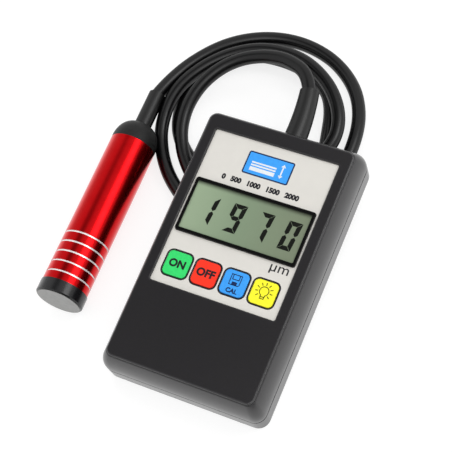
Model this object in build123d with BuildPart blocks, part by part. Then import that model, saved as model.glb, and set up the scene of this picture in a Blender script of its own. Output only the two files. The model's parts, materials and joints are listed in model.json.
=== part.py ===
"""Coating thickness gauge: a hand-held case with a wired cylindrical probe.

Millimetres, +Z up. The gauge lies face up on a flat surface, with its long side along Y
and its cable end towards +Y. The cable end rests on the loops of its own cable, so the
case leans by CASE_TILT. The probe lies on the surface at the left of the case. The origin
is on that surface, under the middle of the box that holds the case and the probe.

The case is drawn flat, with its rear face on Z = 0 and its middle on the origin, and the
probe is drawn along +Y from its sensing face. Both are then set down in their places.
"""

import os
from math import cos, pi, radians, sin, sqrt, tan

from build123d import *

# Outside of the case
CASE_WIDTH = 71.2
CASE_LENGTH = 118.2
CASE_HEIGHT = 22.0
PARTING_HEIGHT = 9.4
CORNER_RADIUS = 5.0
WALL = 2.2
FLOOR = 2.2
FACE_WALL = 2.4
REAR_EDGE_RADIUS = 1.5
PARTING_CHAMFER = 0.3

# Raised flat face, and the curved shoulder that falls away from it
FACE_WIDTH = 64.0
FACE_LENGTH = 111.0
FACE_CORNER = 3.0
FACE_STEP = 1.2
FACE_EDGE = 0.4
FACE_LEDGE = 0.35
SHOULDER_STATIONS = 4
SHOULDER_CORNER = 3.2

# Lip of the rear shell, in a rebate of the front shell
LIP_HEIGHT = 1.5
LIP_THICKNESS = 0.9
LIP_CLEARANCE = 0.1

# Label panel, sunk into the face
PANEL_WIDTH = 55.0
PANEL_LENGTH = 70.0
PANEL_MARGIN = 6.5
PANEL_CORNER = 0.8
PANEL_DEPTH = 0.8
PANEL_CLEARANCE = 0.1
FILM_THICKNESS = 0.25

# Display, placed from the top edge of the label panel, each piece as wide as the one round it lets it be
DISPLAY_OFFSET = 34.7
BEZEL_SIDE = 1.1
BEZEL_LENGTH = 24.3
BEZEL_CORNER = 1.0
BEZEL_RIM = 0.45
BEZEL_SKIRT = 0.85
BEZEL_CLEARANCE = 0.1
WINDOW_SIDE = 1.8
WINDOW_LENGTH = 20.9
WINDOW_CORNER = 0.5
WINDOW_THICKNESS = 1.0
WINDOW_CLEARANCE = 0.1
GLASS_GAP = 0.4
GLASS_OVERLAP = 0.8
GLASS_LENGTH = 30.5
GLASS_THICKNESS = 2.8
BACKLIGHT_SIDE = 0.4
BACKLIGHT_LENGTH = 25.0
BACKLIGHT_THICKNESS = 2.0
PIN_COUNT = 16
PIN_PITCH = 2.54
PIN_WIDTH = 0.5
PIN_INSET = 1.2

# Keys, placed from the top edge of the label panel and from the centre line
KEY_NAMES = ("on", "off", "calibrate", "backlight")
KEY_WIDTH = 10.3
KEY_CORNER = 2.0
KEY_PITCH = 12.65
KEY_ROW_OFFSET = 60.5
KEY_ROW_SHIFT = -0.2
KEY_PROUD = 0.25
KEY_CLEARANCE = 0.25
KEY_EDGE = 0.2
KEY_TRAVEL = 0.4
KEY_FLANGE = 0.8
KEY_FLANGE_THICKNESS = 0.8
KEY_FLANGE_GAP = 0.1
STEM_RADIUS = 2.2
SWITCH_WIDTH = 6.0
SWITCH_HEIGHT = 3.5
PLUNGER_RADIUS = 1.7
PLUNGER_PROUD = 0.5
PLUNGER_DEPTH = 0.9
PLUNGER_CLEARANCE = 0.1

# Main board, hung from posts under the face, with each part's place from the centre line and the board's near edge
BOARD_WIDTH = 60.0
BOARD_THICKNESS = 1.6
BOARD_CORNER = 1.5
BOARD_BACK_GAP = 12.0
BOARD_SCREW_SIDE = 3.0
BOARD_SCREW_INSET = 5.0
BOARD_SCREW_RADIUS = 1.1
BOARD_SCREW_LENGTH = 5.5
BOARD_SCREW_HEAD_RADIUS = 2.2
BOARD_SCREW_HEAD_HEIGHT = 1.4
BOARD_POST_RADIUS = 2.4
THREAD_CLEARANCE = 0.05
CHIP_WIDTH = 10.0
CHIP_HEIGHT = 1.6
CHIP_PLACE = (-8.0, 23.1)
CHIP_LEGS = 8
CHIP_LEG_PITCH = 1.1
CHIP_LEG_WIDTH = 0.5
CHIP_LEG_REACH = 1.2
AMPLIFIER_WIDTH = 5.0
AMPLIFIER_LENGTH = 4.0
AMPLIFIER_PLACE = (12.0, 11.1)
REGULATOR_RADIUS = 2.4
REGULATOR_HEIGHT = 4.8
REGULATOR_FLAT = 1.4
REGULATOR_PLACE = (16.0, 11.7)
CRYSTAL_WIDTH = 4.6
CRYSTAL_LENGTH = 11.0
CRYSTAL_HEIGHT = 3.5
CRYSTAL_PLACE = (-20.0, 39.1)
CAPACITOR_RADIUS = 2.5
CAPACITOR_HEIGHT = 7.0
CAPACITOR_EDGE = 0.4
CAPACITOR_PLACE = (5.0, 9.7)

# Screws that hold the two shells together, put in from the rear
SCREW_INSET = 5.4
SCREW_RADIUS = 1.4
SCREW_LENGTH = 12.0
SCREW_HEAD_RADIUS = 2.5
SCREW_HEAD_HEIGHT = 1.8
SCREW_SINK = 1.0
SCREW_CLEARANCE = 0.2
POST_RADIUS = 3.6
RECESS_WIDTH = 0.7
RECESS_DEPTH = 0.8
RECESS_SHARE = 1.3

# Battery, its clip, its bay and the sliding door
BATTERY_WIDTH = 48.5
BATTERY_LENGTH = 26.5
BATTERY_THICKNESS = 17.3
BATTERY_CORNER = 2.0
BATTERY_CLEARANCE = 0.5
BATTERY_SETBACK = 2.4
TERMINAL_RADIUS = 2.9
TERMINAL_HEIGHT = 1.8
TERMINAL_SPACING = 12.7
CLIP_THICKNESS = 3.4
CLIP_LENGTH = 24.0
CLIP_HEIGHT = 11.0
CLIP_CORNER = 1.5
BAY_WALL = 1.5
BAY_HEIGHT = 9.2
DOOR_THICKNESS = 1.8
DOOR_TONGUE = 1.2
DOOR_TONGUE_THICKNESS = 0.8
DOOR_CLEARANCE = 0.15
DOOR_TRAVEL = 30.0
GRIP_COUNT = 5
GRIP_PITCH = 2.4
GRIP_WIDTH = 26.0
GRIP_DEPTH = 0.5
GRIP_GROOVE = 1.0
GRIP_INSET = 12.0

# Cable, its clamp and its two sleeves
CABLE_DIAMETER = 6.0
CABLE_FIRST_RUN = 3.0
CABLE_LAST_RUN = 8.0
CABLE_CORNER_SHARE = 0.45
SLEEVE_X = 1.7
SLEEVE_LENGTH = 22.7
SLEEVE_TAIL = 9.0
SLEEVE_FLANGE_RADIUS = 5.7
SLEEVE_FLANGE_THICKNESS = 0.8
SLEEVE_FLANGE_SETBACK = 3.4
SLEEVE_ROOT_RADIUS = 4.9
SLEEVE_TIP_RADIUS = 4.2
SLEEVE_BEND = 11.4
SLEEVE_STATIONS = 4
SLEEVE_CLEARANCE = 0.3
CLAMP_LENGTH = 4.5
CLAMP_WALL = 1.6
CLAMP_EAR = 4.4
CLAMP_SCREW_LENGTH = 6.0
CLAMP_CLEARANCE = 0.1
LEAD_RADIUS = 0.6
LEAD_BEND = 1.5
SIGNAL_LEAD_XS = (-1.6, 0.0, 1.6)
SIGNAL_LEAD_REACH = 8.0
BATTERY_LEAD_SPACING = 3.0
BATTERY_LEAD_REACH = 9.5

# Corners of the cable's route between its first and last run, from the case to the probe
CABLE_ROUTE = [
    (18.6, 86.6, 24.3),
    (16.0, 89.0, 24.2),
    (12.6, 90.8, 24.0),
    (7.5, 92.7, 23.4),
    (1.7, 94.2, 22.5),
    (-7.2, 93.5, 21.0),
    (-16.7, 89.8, 19.0),
    (-25.0, 82.9, 16.6),
    (-30.7, 73.4, 14.0),
    (-32.8, 62.2, 11.5),
    (-30.5, 51.2, 9.6),
    (-22.3, 40.8, 7.9),
    (-8.5, 31.2, 5.3),
    (5.5, 27.0, 3.8),
    (18.0, 28.7, 3.2),
    (27.4, 36.0, 3.1),
    (32.4, 47.4, 3.2),
    (32.9, 60.8, 3.1),
    (30.4, 74.1, 3.2),
    (27.0, 86.0, 3.1),
    (20.6, 95.9, 3.1),
    (7.1, 102.5, 4.1),
    (-9.7, 103.9, 4.8),
    (-23.5, 99.5, 4.3),
    (-32.9, 89.6, 3.4),
    (-37.3, 76.6, 3.1),
    (-35.9, 62.8, 3.3),
    (-27.4, 51.0, 3.3),
    (-17.1, 43.0, 3.3),
    (-5.7, 39.1, 3.6),
    (5.7, 39.4, 4.4),
    (16.3, 43.4, 5.8),
    (25.1, 50.7, 7.6),
    (31.6, 60.4, 9.3),
    (35.1, 71.8, 10.5),
    (32.3, 83.6, 11.6),
    (22.4, 94.1, 13.1),
    (7.1, 101.0, 14.2),
    (-10.5, 101.8, 13.5),
    (-24.7, 96.5, 11.9),
    (-35.6, 86.4, 10.2),
    (-42.6, 72.4, 7.5),
    (-42.8, 56.4, 3.8),
    (-35.7, 43.3, 3.0),
    (-25.2, 31.5, 4.0),
    (-9.6, 21.6, 4.3),
    (9.0, 18.1, 3.7),
    (26.2, 24.9, 3.2),
    (38.2, 41.0, 3.4),
    (43.3, 61.8, 4.0),
    (42.2, 81.0, 4.5),
    (36.5, 94.8, 3.8),
    (27.4, 104.3, 3.1),
    (14.7, 111.2, 3.2),
    (-1.3, 114.3, 4.3),
    (-17.4, 111.6, 5.8),
    (-31.4, 102.4, 7.6),
    (-42.0, 88.4, 9.2),
]

# Probe
PROBE_RADIUS = 10.1
PROBE_TUBE_LENGTH = 71.8
PROBE_WALL = 1.8
COLLAR_RADIUS = 10.4
COLLAR_LENGTH = 5.6
COLLAR_EDGE = 0.5
CAP_LENGTH = 10.4
CAP_BASE = 1.2
SPIGOT_LENGTH = 6.0
SPIGOT_CLEARANCE = 0.05
SENSING_RADIUS = 9.6
SENSING_THICKNESS = 2.5
SENSING_PROUD = 0.2
SENSING_CLEARANCE = 0.05
RING_COUNT = 5
RING_FIRST = 10.1
RING_PITCH = 4.67
RING_WIDTH = 0.8
RING_DEPTH = 0.25
PROBE_SLEEVE_LENGTH = 17.5
PROBE_SLEEVE_RADIUS = 3.75
PROBE_SLEEVE_TAIL = 9.0
CORE_RADIUS = 2.0
CORE_LENGTH = 16.0
BOBBIN_RADIUS = 6.0
BOBBIN_LENGTH = 13.0
BOBBIN_FLANGE = 1.0
BOBBIN_TUBE = 1.0
BOBBIN_CLEARANCE = 0.2
COIL_CLEARANCE = 0.05
COIL_RADIUS = 5.6
PROBE_LEAD_RADIUS = 0.5
PROBE_LEAD_X = 3.0

# How the case and the probe lie
CASE_TILT = 6.0
CASE_X = 21.35
CASE_Y = 0.6
PROBE_X = -43.95
PROBE_Y = -39.2
PROBE_TURN = 2.1

# Worked out from the sizes above
HALF_WIDTH = CASE_WIDTH / 2
HALF_LENGTH = CASE_LENGTH / 2
INNER_HALF_WIDTH = HALF_WIDTH - WALL
INNER_HALF_LENGTH = HALF_LENGTH - WALL
FACE_BASE = CASE_HEIGHT - FACE_STEP
INNER_TOP = CASE_HEIGHT - FACE_WALL
SHOULDER_INSET = (CASE_WIDTH - FACE_WIDTH) / 2 - FACE_LEDGE
SHOULDER_RISE = FACE_BASE - PARTING_HEIGHT
SHOULDER_RADIUS = (SHOULDER_RISE**2 + SHOULDER_INSET**2) / (2 * SHOULDER_INSET)

PANEL_TOP = FACE_LENGTH / 2 - PANEL_MARGIN
PANEL_MIDDLE = PANEL_TOP - PANEL_LENGTH / 2
PANEL_SURFACE = CASE_HEIGHT - PANEL_DEPTH
PANEL_FLOOR = PANEL_SURFACE - FILM_THICKNESS

DISPLAY_Y = PANEL_TOP - DISPLAY_OFFSET
BEZEL_WIDTH = PANEL_WIDTH - 2 * BEZEL_SIDE
WINDOW_WIDTH = BEZEL_WIDTH - 2 * WINDOW_SIDE
GLASS_WIDTH = WINDOW_WIDTH + 2 * GLASS_OVERLAP
BACKLIGHT_WIDTH = GLASS_WIDTH - 2 * BACKLIGHT_SIDE
GLASS_TOP = INNER_TOP - GLASS_GAP
GLASS_BOTTOM = GLASS_TOP - GLASS_THICKNESS
BOARD_TOP = GLASS_BOTTOM - BACKLIGHT_THICKNESS
BOARD_BOTTOM = BOARD_TOP - BOARD_THICKNESS
SKIRT_WIDTH = WINDOW_WIDTH + 2 * BEZEL_SKIRT
SKIRT_LENGTH = WINDOW_LENGTH + 2 * BEZEL_SKIRT

KEY_Y = PANEL_TOP - KEY_ROW_OFFSET
KEY_MIDDLE = (len(KEY_NAMES) - 1) / 2
KEY_POINTS = [(KEY_ROW_SHIFT + KEY_PITCH * (i - KEY_MIDDLE), KEY_Y) for i in range(len(KEY_NAMES))]
KEY_TOP = PANEL_SURFACE + KEY_PROUD
FLANGE_BOTTOM = INNER_TOP - KEY_FLANGE_GAP - KEY_FLANGE_THICKNESS
SWITCH_TOP = BOARD_TOP + SWITCH_HEIGHT
PLUNGER_TOP = SWITCH_TOP + PLUNGER_PROUD

BATTERY_X = -CLIP_THICKNESS / 2
BATTERY_Y = -INNER_HALF_LENGTH + BATTERY_SETBACK + BATTERY_LENGTH / 2
BATTERY_BOTTOM = DOOR_THICKNESS
BATTERY_END_X = BATTERY_X + BATTERY_WIDTH / 2
BAY_HALF_WIDTH = (BATTERY_WIDTH + CLIP_THICKNESS) / 2 + BATTERY_CLEARANCE
BAY_BACK_Y = BATTERY_Y + BATTERY_LENGTH / 2 + BATTERY_CLEARANCE
DOOR_HALF_WIDTH = BAY_HALF_WIDTH - DOOR_CLEARANCE
DOOR_BACK_Y = BAY_BACK_Y - DOOR_CLEARANCE
TONGUE_BOTTOM = DOOR_THICKNESS - DOOR_TONGUE_THICKNESS

BOARD_FRONT_Y = BAY_BACK_Y + BAY_WALL + BATTERY_CLEARANCE
BOARD_BACK_Y = INNER_HALF_LENGTH - BOARD_BACK_GAP
BOARD_MIDDLE_Y = (BOARD_FRONT_Y + BOARD_BACK_Y) / 2
BOARD_SCREW_POINTS = [
    (side * (BOARD_WIDTH / 2 - BOARD_SCREW_SIDE), y)
    for side in (-1, 1)
    for y in (BOARD_FRONT_Y + BOARD_SCREW_INSET, BOARD_BACK_Y - BOARD_SCREW_INSET)
]
CHIP_POINT = (CHIP_PLACE[0], BOARD_BACK_Y - CHIP_PLACE[1])
AMPLIFIER_POINT = (AMPLIFIER_PLACE[0], BOARD_BACK_Y - AMPLIFIER_PLACE[1])
CRYSTAL_POINT = (CRYSTAL_PLACE[0], BOARD_BACK_Y - CRYSTAL_PLACE[1])
REGULATOR_POINT = (REGULATOR_PLACE[0], BOARD_FRONT_Y + REGULATOR_PLACE[1])
CAPACITOR_POINT = (CAPACITOR_PLACE[0], BOARD_FRONT_Y + CAPACITOR_PLACE[1])
SCREW_POINTS = [
    (side * (HALF_WIDTH - SCREW_INSET), end * (HALF_LENGTH - SCREW_INSET))
    for side in (-1, 1)
    for end in (-1, 1)
]

CABLE_RADIUS = CABLE_DIAMETER / 2
TAIL_END_Y = HALF_LENGTH - SLEEVE_TAIL
CLAMP_Y = TAIL_END_Y + CLAMP_LENGTH / 2
CLAMP_BORE = CABLE_RADIUS + CLAMP_CLEARANCE
CLAMP_HALF_WIDTH = CLAMP_BORE + CLAMP_WALL + CLAMP_EAR
CLAMP_SCREW_REACH = CLAMP_BORE + CLAMP_WALL + CLAMP_EAR / 2
CLAMP_SCREW_POINTS = [(SLEEVE_X + side * CLAMP_SCREW_REACH, CLAMP_Y) for side in (-1, 1)]
SLEEVE_BEND_RADIUS = SLEEVE_LENGTH / radians(SLEEVE_BEND)

TUBE_END = COLLAR_LENGTH + PROBE_TUBE_LENGTH
TUBE_BORE = PROBE_RADIUS - PROBE_WALL
CAP_END = TUBE_END + CAP_LENGTH
SENSING_BACK = SENSING_THICKNESS - SENSING_PROUD
BOBBIN_BORE = CORE_RADIUS + COIL_CLEARANCE
BOBBIN_END = SENSING_BACK + BOBBIN_LENGTH

# Where the case and the probe are set down: the case stands on its lower rear edge
LEAN = radians(CASE_TILT)
CASE_LIFT = REAR_EDGE_RADIUS * (1 - cos(LEAN)) + (HALF_LENGTH - REAR_EDGE_RADIUS) * sin(LEAN)
IN_CASE = Location((CASE_X, CASE_Y, CASE_LIFT), (CASE_TILT, 0, 0))
IN_SLEEVE = IN_CASE * Location((SLEEVE_X, HALF_LENGTH, PARTING_HEIGHT))
IN_PROBE = Location((PROBE_X, PROBE_Y, COLLAR_RADIUS), (0, 0, PROBE_TURN))
ON_FLOOR = Location()

os.makedirs("parts", exist_ok=True)


def finish(piece, name, place):
    """Labels a finished piece, sets it down in its place and writes it."""
    piece.part.label = name
    piece.part.location = place
    export_step(piece.part, f"parts/{name}.step")


def shoulder_inset(height):
    """How far the front shell's side has curved inwards at a height."""
    return SHOULDER_RADIUS - sqrt(SHOULDER_RADIUS**2 - (height - PARTING_HEIGHT) ** 2)


def shoulder_stations(top):
    """Evenly spaced heights from the parting line to the given top."""
    step = (top - PARTING_HEIGHT) / (SHOULDER_STATIONS - 1)
    return [PARTING_HEIGHT + i * step for i in range(SHOULDER_STATIONS)]


def corner_at(height, wall=0.0):
    """Corner radius of the front shell's outline at a height, less a wall."""
    share = (height - PARTING_HEIGHT) / SHOULDER_RISE
    return CORNER_RADIUS - wall - share * (CORNER_RADIUS - SHOULDER_CORNER)


def sleeve_plane(distance):
    """Plane across the bent sleeve at a distance from the case."""
    turn = distance / SLEEVE_BEND_RADIUS
    middle = (SLEEVE_BEND_RADIUS * (cos(turn) - 1), SLEEVE_BEND_RADIUS * sin(turn), 0)
    return Plane(origin=middle, x_dir=(0, 0, 1), z_dir=(-sin(turn), cos(turn), 0))


# Space inside the front shell, around its screw posts and board posts
with BuildPart() as cavity:
    for height in shoulder_stations(INNER_TOP):
        inset = shoulder_inset(height) + WALL
        with BuildSketch(Plane.XY.offset(height)):
            RectangleRounded(CASE_WIDTH - 2 * inset, CASE_LENGTH - 2 * inset, corner_at(height, WALL / 2))
    loft()
    rebate = LIP_THICKNESS + LIP_CLEARANCE
    with BuildSketch(Plane.XY.offset(PARTING_HEIGHT)):
        RectangleRounded(
            2 * (INNER_HALF_WIDTH + rebate), 2 * (INNER_HALF_LENGTH + rebate), CORNER_RADIUS - WALL + rebate
        )
    extrude(amount=LIP_HEIGHT + LIP_CLEARANCE)
    with BuildSketch(Plane.XY.offset(PARTING_HEIGHT + LIP_HEIGHT + LIP_CLEARANCE)):
        with Locations(*SCREW_POINTS):
            Circle(POST_RADIUS)
    extrude(amount=INNER_TOP, mode=Mode.SUBTRACT)
    with BuildSketch(Plane.XY.offset(PARTING_HEIGHT)):
        with Locations(*SCREW_POINTS):
            Circle(POST_RADIUS - rebate)
    extrude(amount=INNER_TOP, mode=Mode.SUBTRACT)
    with BuildSketch(Plane.XY.offset(BOARD_TOP)):
        with Locations(*BOARD_SCREW_POINTS):
            Circle(BOARD_POST_RADIUS)
    extrude(amount=INNER_TOP, mode=Mode.SUBTRACT)

# Front shell: curved shoulder, raised face, then everything that is cut from it
with BuildPart() as front_shell:
    for height in shoulder_stations(FACE_BASE):
        inset = shoulder_inset(height)
        with BuildSketch(Plane.XY.offset(height)):
            RectangleRounded(CASE_WIDTH - 2 * inset, CASE_LENGTH - 2 * inset, corner_at(height))
    loft()
    with BuildSketch(Plane.XY.offset(FACE_BASE)):
        RectangleRounded(FACE_WIDTH, FACE_LENGTH, FACE_CORNER)
    extrude(amount=FACE_STEP)
    fillet(front_shell.edges().group_by(Axis.Z)[-1], FACE_EDGE)
    add(cavity.part, mode=Mode.SUBTRACT)
    with BuildSketch(Plane.XY.offset(PARTING_HEIGHT)):
        with Locations(*SCREW_POINTS):
            Circle(SCREW_RADIUS + THREAD_CLEARANCE)
    extrude(amount=SCREW_LENGTH + SCREW_SINK + SCREW_HEAD_HEIGHT - PARTING_HEIGHT + 1, mode=Mode.SUBTRACT)
    with BuildSketch(Plane.XY.offset(BOARD_TOP)):
        with Locations(*BOARD_SCREW_POINTS):
            Circle(BOARD_SCREW_RADIUS + THREAD_CLEARANCE)
    extrude(amount=BOARD_SCREW_LENGTH - BOARD_THICKNESS + THREAD_CLEARANCE, mode=Mode.SUBTRACT)
    with BuildSketch(Plane.XY.offset(CASE_HEIGHT)):
        with Locations((0, PANEL_MIDDLE)):
            RectangleRounded(PANEL_WIDTH, PANEL_LENGTH, PANEL_CORNER)
    extrude(amount=PANEL_FLOOR - CASE_HEIGHT, mode=Mode.SUBTRACT)
    with BuildSketch(Plane.XY.offset(PANEL_FLOOR)):
        with Locations((0, DISPLAY_Y)):
            RectangleRounded(
                SKIRT_WIDTH + 2 * BEZEL_CLEARANCE, SKIRT_LENGTH + 2 * BEZEL_CLEARANCE, BEZEL_CORNER
            )
        with Locations(*KEY_POINTS):
            RectangleRounded(
                KEY_WIDTH + 2 * KEY_CLEARANCE, KEY_WIDTH + 2 * KEY_CLEARANCE, KEY_CORNER + KEY_CLEARANCE
            )
    extrude(amount=INNER_TOP - PANEL_FLOOR, mode=Mode.SUBTRACT)
    with BuildSketch(Plane.XZ.offset(-(INNER_HALF_LENGTH - WALL))):
        with Locations((SLEEVE_X, PARTING_HEIGHT)):
            Circle(SLEEVE_ROOT_RADIUS + SLEEVE_CLEARANCE)
    extrude(amount=-3 * WALL, mode=Mode.SUBTRACT)
finish(front_shell, "front_shell", IN_CASE)

# Rear shell: a tray with a lip, screw posts, the battery bay and a saddle for the cable
with BuildPart() as rear_shell:
    with BuildSketch():
        RectangleRounded(CASE_WIDTH, CASE_LENGTH, CORNER_RADIUS)
    extrude(amount=PARTING_HEIGHT)
    fillet(rear_shell.edges().group_by(Axis.Z)[0], REAR_EDGE_RADIUS)
    chamfer(rear_shell.edges().group_by(Axis.Z)[-1], PARTING_CHAMFER)
    lip = LIP_THICKNESS
    with BuildSketch(Plane.XY.offset(PARTING_HEIGHT)):
        RectangleRounded(
            2 * (INNER_HALF_WIDTH + lip), 2 * (INNER_HALF_LENGTH + lip), CORNER_RADIUS - WALL + lip
        )
    extrude(amount=LIP_HEIGHT)
    with BuildSketch(Plane.XY.offset(FLOOR)):
        RectangleRounded(2 * INNER_HALF_WIDTH, 2 * INNER_HALF_LENGTH, CORNER_RADIUS - WALL)
    extrude(amount=PARTING_HEIGHT + LIP_HEIGHT - FLOOR, mode=Mode.SUBTRACT)
    with BuildSketch(Plane.XY.offset(FLOOR)):
        with Locations(*SCREW_POINTS):
            Circle(POST_RADIUS)
    extrude(amount=PARTING_HEIGHT - FLOOR)
    with BuildSketch(Plane.XY.offset(FLOOR)):
        with Locations((0, (BAY_BACK_Y + BAY_WALL - INNER_HALF_LENGTH) / 2)):
            Rectangle(2 * (BAY_HALF_WIDTH + BAY_WALL), BAY_BACK_Y + BAY_WALL + INNER_HALF_LENGTH)
        with Locations((0, (BAY_BACK_Y - INNER_HALF_LENGTH) / 2)):
            Rectangle(2 * BAY_HALF_WIDTH, BAY_BACK_Y + INNER_HALF_LENGTH, mode=Mode.SUBTRACT)
    extrude(amount=BAY_HEIGHT - FLOOR)
    with BuildSketch(Plane.XY.offset(FLOOR)):
        with Locations((SLEEVE_X, CLAMP_Y)):
            Rectangle(2 * CLAMP_HALF_WIDTH, CLAMP_LENGTH)
    extrude(amount=PARTING_HEIGHT - FLOOR)
    with BuildSketch(Plane.XY):
        with Locations(*SCREW_POINTS):
            Circle(SCREW_RADIUS + SCREW_CLEARANCE)
    extrude(amount=PARTING_HEIGHT, mode=Mode.SUBTRACT)
    with BuildSketch(Plane.XY):
        with Locations(*SCREW_POINTS):
            Circle(SCREW_HEAD_RADIUS + SCREW_CLEARANCE)
    extrude(amount=SCREW_SINK + SCREW_HEAD_HEIGHT, mode=Mode.SUBTRACT)
    with BuildSketch(Plane.XY):
        with Locations((0, (BAY_BACK_Y - HALF_LENGTH) / 2)):
            Rectangle(2 * BAY_HALF_WIDTH, BAY_BACK_Y + HALF_LENGTH)
    extrude(amount=DOOR_THICKNESS + DOOR_CLEARANCE, mode=Mode.SUBTRACT)
    with BuildSketch(Plane.XY):
        with Locations((0, (BAY_BACK_Y - INNER_HALF_LENGTH) / 2)):
            Rectangle(2 * BAY_HALF_WIDTH, BAY_BACK_Y + INNER_HALF_LENGTH)
    extrude(amount=FLOOR, mode=Mode.SUBTRACT)
    groove = BAY_HALF_WIDTH + DOOR_TONGUE
    with BuildSketch(Plane.XY.offset(TONGUE_BOTTOM - DOOR_CLEARANCE)):
        with Locations((0, (BAY_BACK_Y - HALF_LENGTH) / 2)):
            Rectangle(2 * groove, BAY_BACK_Y + HALF_LENGTH)
    extrude(amount=DOOR_TONGUE_THICKNESS + 2 * DOOR_CLEARANCE, mode=Mode.SUBTRACT)
    with BuildSketch(Plane.XZ.offset(-TAIL_END_Y)):
        with Locations((SLEEVE_X, PARTING_HEIGHT)):
            Circle(CLAMP_BORE)
    extrude(amount=-CLAMP_LENGTH, mode=Mode.SUBTRACT)
    with BuildSketch(Plane.XY.offset(PARTING_HEIGHT)):
        with Locations(*CLAMP_SCREW_POINTS):
            Circle(BOARD_SCREW_RADIUS + THREAD_CLEARANCE)
    extrude(amount=-CLAMP_SCREW_LENGTH, mode=Mode.SUBTRACT)
    with BuildSketch(Plane.XZ.offset(-(INNER_HALF_LENGTH - WALL))):
        with Locations((SLEEVE_X, PARTING_HEIGHT)):
            Circle(SLEEVE_ROOT_RADIUS + SLEEVE_CLEARANCE)
    extrude(amount=-3 * WALL, mode=Mode.SUBTRACT)
finish(rear_shell, "rear_shell", IN_CASE)

# Battery door: a piece of the rear face and lower edge, with a tongue along each side
with BuildPart() as battery_door:
    with BuildSketch():
        RectangleRounded(CASE_WIDTH, CASE_LENGTH, CORNER_RADIUS)
    extrude(amount=PARTING_HEIGHT)
    fillet(battery_door.edges().group_by(Axis.Z)[0], REAR_EDGE_RADIUS)
    with BuildSketch():
        with Locations((0, (DOOR_BACK_Y - HALF_LENGTH) / 2)):
            Rectangle(2 * DOOR_HALF_WIDTH, DOOR_BACK_Y + HALF_LENGTH)
    extrude(amount=DOOR_THICKNESS, mode=Mode.INTERSECT)
    with BuildSketch(Plane.XY.offset(TONGUE_BOTTOM)):
        with Locations((0, (DOOR_BACK_Y - INNER_HALF_LENGTH) / 2)):
            Rectangle(2 * (DOOR_HALF_WIDTH + DOOR_TONGUE), DOOR_BACK_Y + INNER_HALF_LENGTH)
    extrude(amount=DOOR_TONGUE_THICKNESS)
    with BuildSketch():
        with Locations((0, -HALF_LENGTH + GRIP_INSET)):
            with GridLocations(0, GRIP_PITCH, 1, GRIP_COUNT):
                SlotOverall(GRIP_WIDTH, GRIP_GROOVE)
    extrude(amount=GRIP_DEPTH, mode=Mode.SUBTRACT)
finish(battery_door, "battery_door", IN_CASE)

# Case screws, with a cross recess in each head
with BuildPart() as case_screws:
    with BuildSketch(Plane.XY.offset(SCREW_SINK)):
        with Locations(*SCREW_POINTS):
            Circle(SCREW_HEAD_RADIUS)
    extrude(amount=SCREW_HEAD_HEIGHT)
    with BuildSketch(Plane.XY.offset(SCREW_SINK + SCREW_HEAD_HEIGHT)):
        with Locations(*SCREW_POINTS):
            Circle(SCREW_RADIUS)
    extrude(amount=SCREW_LENGTH)
    with BuildSketch(Plane.XY.offset(SCREW_SINK)):
        with Locations(*SCREW_POINTS):
            Rectangle(RECESS_SHARE * SCREW_HEAD_RADIUS, RECESS_WIDTH)
            Rectangle(RECESS_WIDTH, RECESS_SHARE * SCREW_HEAD_RADIUS)
    extrude(amount=RECESS_DEPTH, mode=Mode.SUBTRACT)
finish(case_screws, "case_screws", IN_CASE)

# Printed film in the sunk panel, cut out for the display and the keys
with BuildPart() as front_overlay:
    with BuildSketch(Plane.XY.offset(PANEL_FLOOR)):
        with Locations((0, PANEL_MIDDLE)):
            RectangleRounded(
                PANEL_WIDTH - 2 * PANEL_CLEARANCE, PANEL_LENGTH - 2 * PANEL_CLEARANCE, PANEL_CORNER
            )
        with Locations((0, DISPLAY_Y)):
            RectangleRounded(
                BEZEL_WIDTH + 2 * BEZEL_CLEARANCE,
                BEZEL_LENGTH + 2 * BEZEL_CLEARANCE,
                BEZEL_CORNER,
                mode=Mode.SUBTRACT,
            )
        with Locations(*KEY_POINTS):
            RectangleRounded(
                KEY_WIDTH + 2 * KEY_CLEARANCE,
                KEY_WIDTH + 2 * KEY_CLEARANCE,
                KEY_CORNER + KEY_CLEARANCE,
                mode=Mode.SUBTRACT,
            )
    extrude(amount=FILM_THICKNESS)
finish(front_overlay, "front_overlay", IN_CASE)

# Display frame: a rim on the sunk panel and a skirt down to the glass
with BuildPart() as display_bezel:
    with BuildSketch(Plane.XY.offset(PANEL_FLOOR)):
        with Locations((0, DISPLAY_Y)):
            RectangleRounded(BEZEL_WIDTH, BEZEL_LENGTH, BEZEL_CORNER)
    extrude(amount=BEZEL_RIM)
    with BuildSketch(Plane.XY.offset(GLASS_TOP)):
        with Locations((0, DISPLAY_Y)):
            RectangleRounded(SKIRT_WIDTH, SKIRT_LENGTH, BEZEL_CORNER)
    extrude(amount=PANEL_FLOOR - GLASS_TOP)
    with BuildSketch(Plane.XY.offset(GLASS_TOP)):
        with Locations((0, DISPLAY_Y)):
            RectangleRounded(WINDOW_WIDTH, WINDOW_LENGTH, WINDOW_CORNER)
    extrude(amount=PANEL_FLOOR + BEZEL_RIM - GLASS_TOP, mode=Mode.SUBTRACT)
finish(display_bezel, "display_bezel", IN_CASE)

# Clear window inside the frame
with BuildPart() as display_window:
    with BuildSketch(Plane.XY.offset(GLASS_TOP)):
        with Locations((0, DISPLAY_Y)):
            RectangleRounded(
                WINDOW_WIDTH - 2 * WINDOW_CLEARANCE, WINDOW_LENGTH - 2 * WINDOW_CLEARANCE, WINDOW_CORNER
            )
    extrude(amount=WINDOW_THICKNESS)
finish(display_window, "display_window", IN_CASE)

# Display glass, its pins down to the board, and the light panel between them
with BuildPart() as display_glass:
    with BuildSketch(Plane.XY.offset(GLASS_BOTTOM)):
        with Locations((0, DISPLAY_Y)):
            Rectangle(GLASS_WIDTH, GLASS_LENGTH)
    extrude(amount=GLASS_THICKNESS)
finish(display_glass, "display_glass", IN_CASE)

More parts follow.
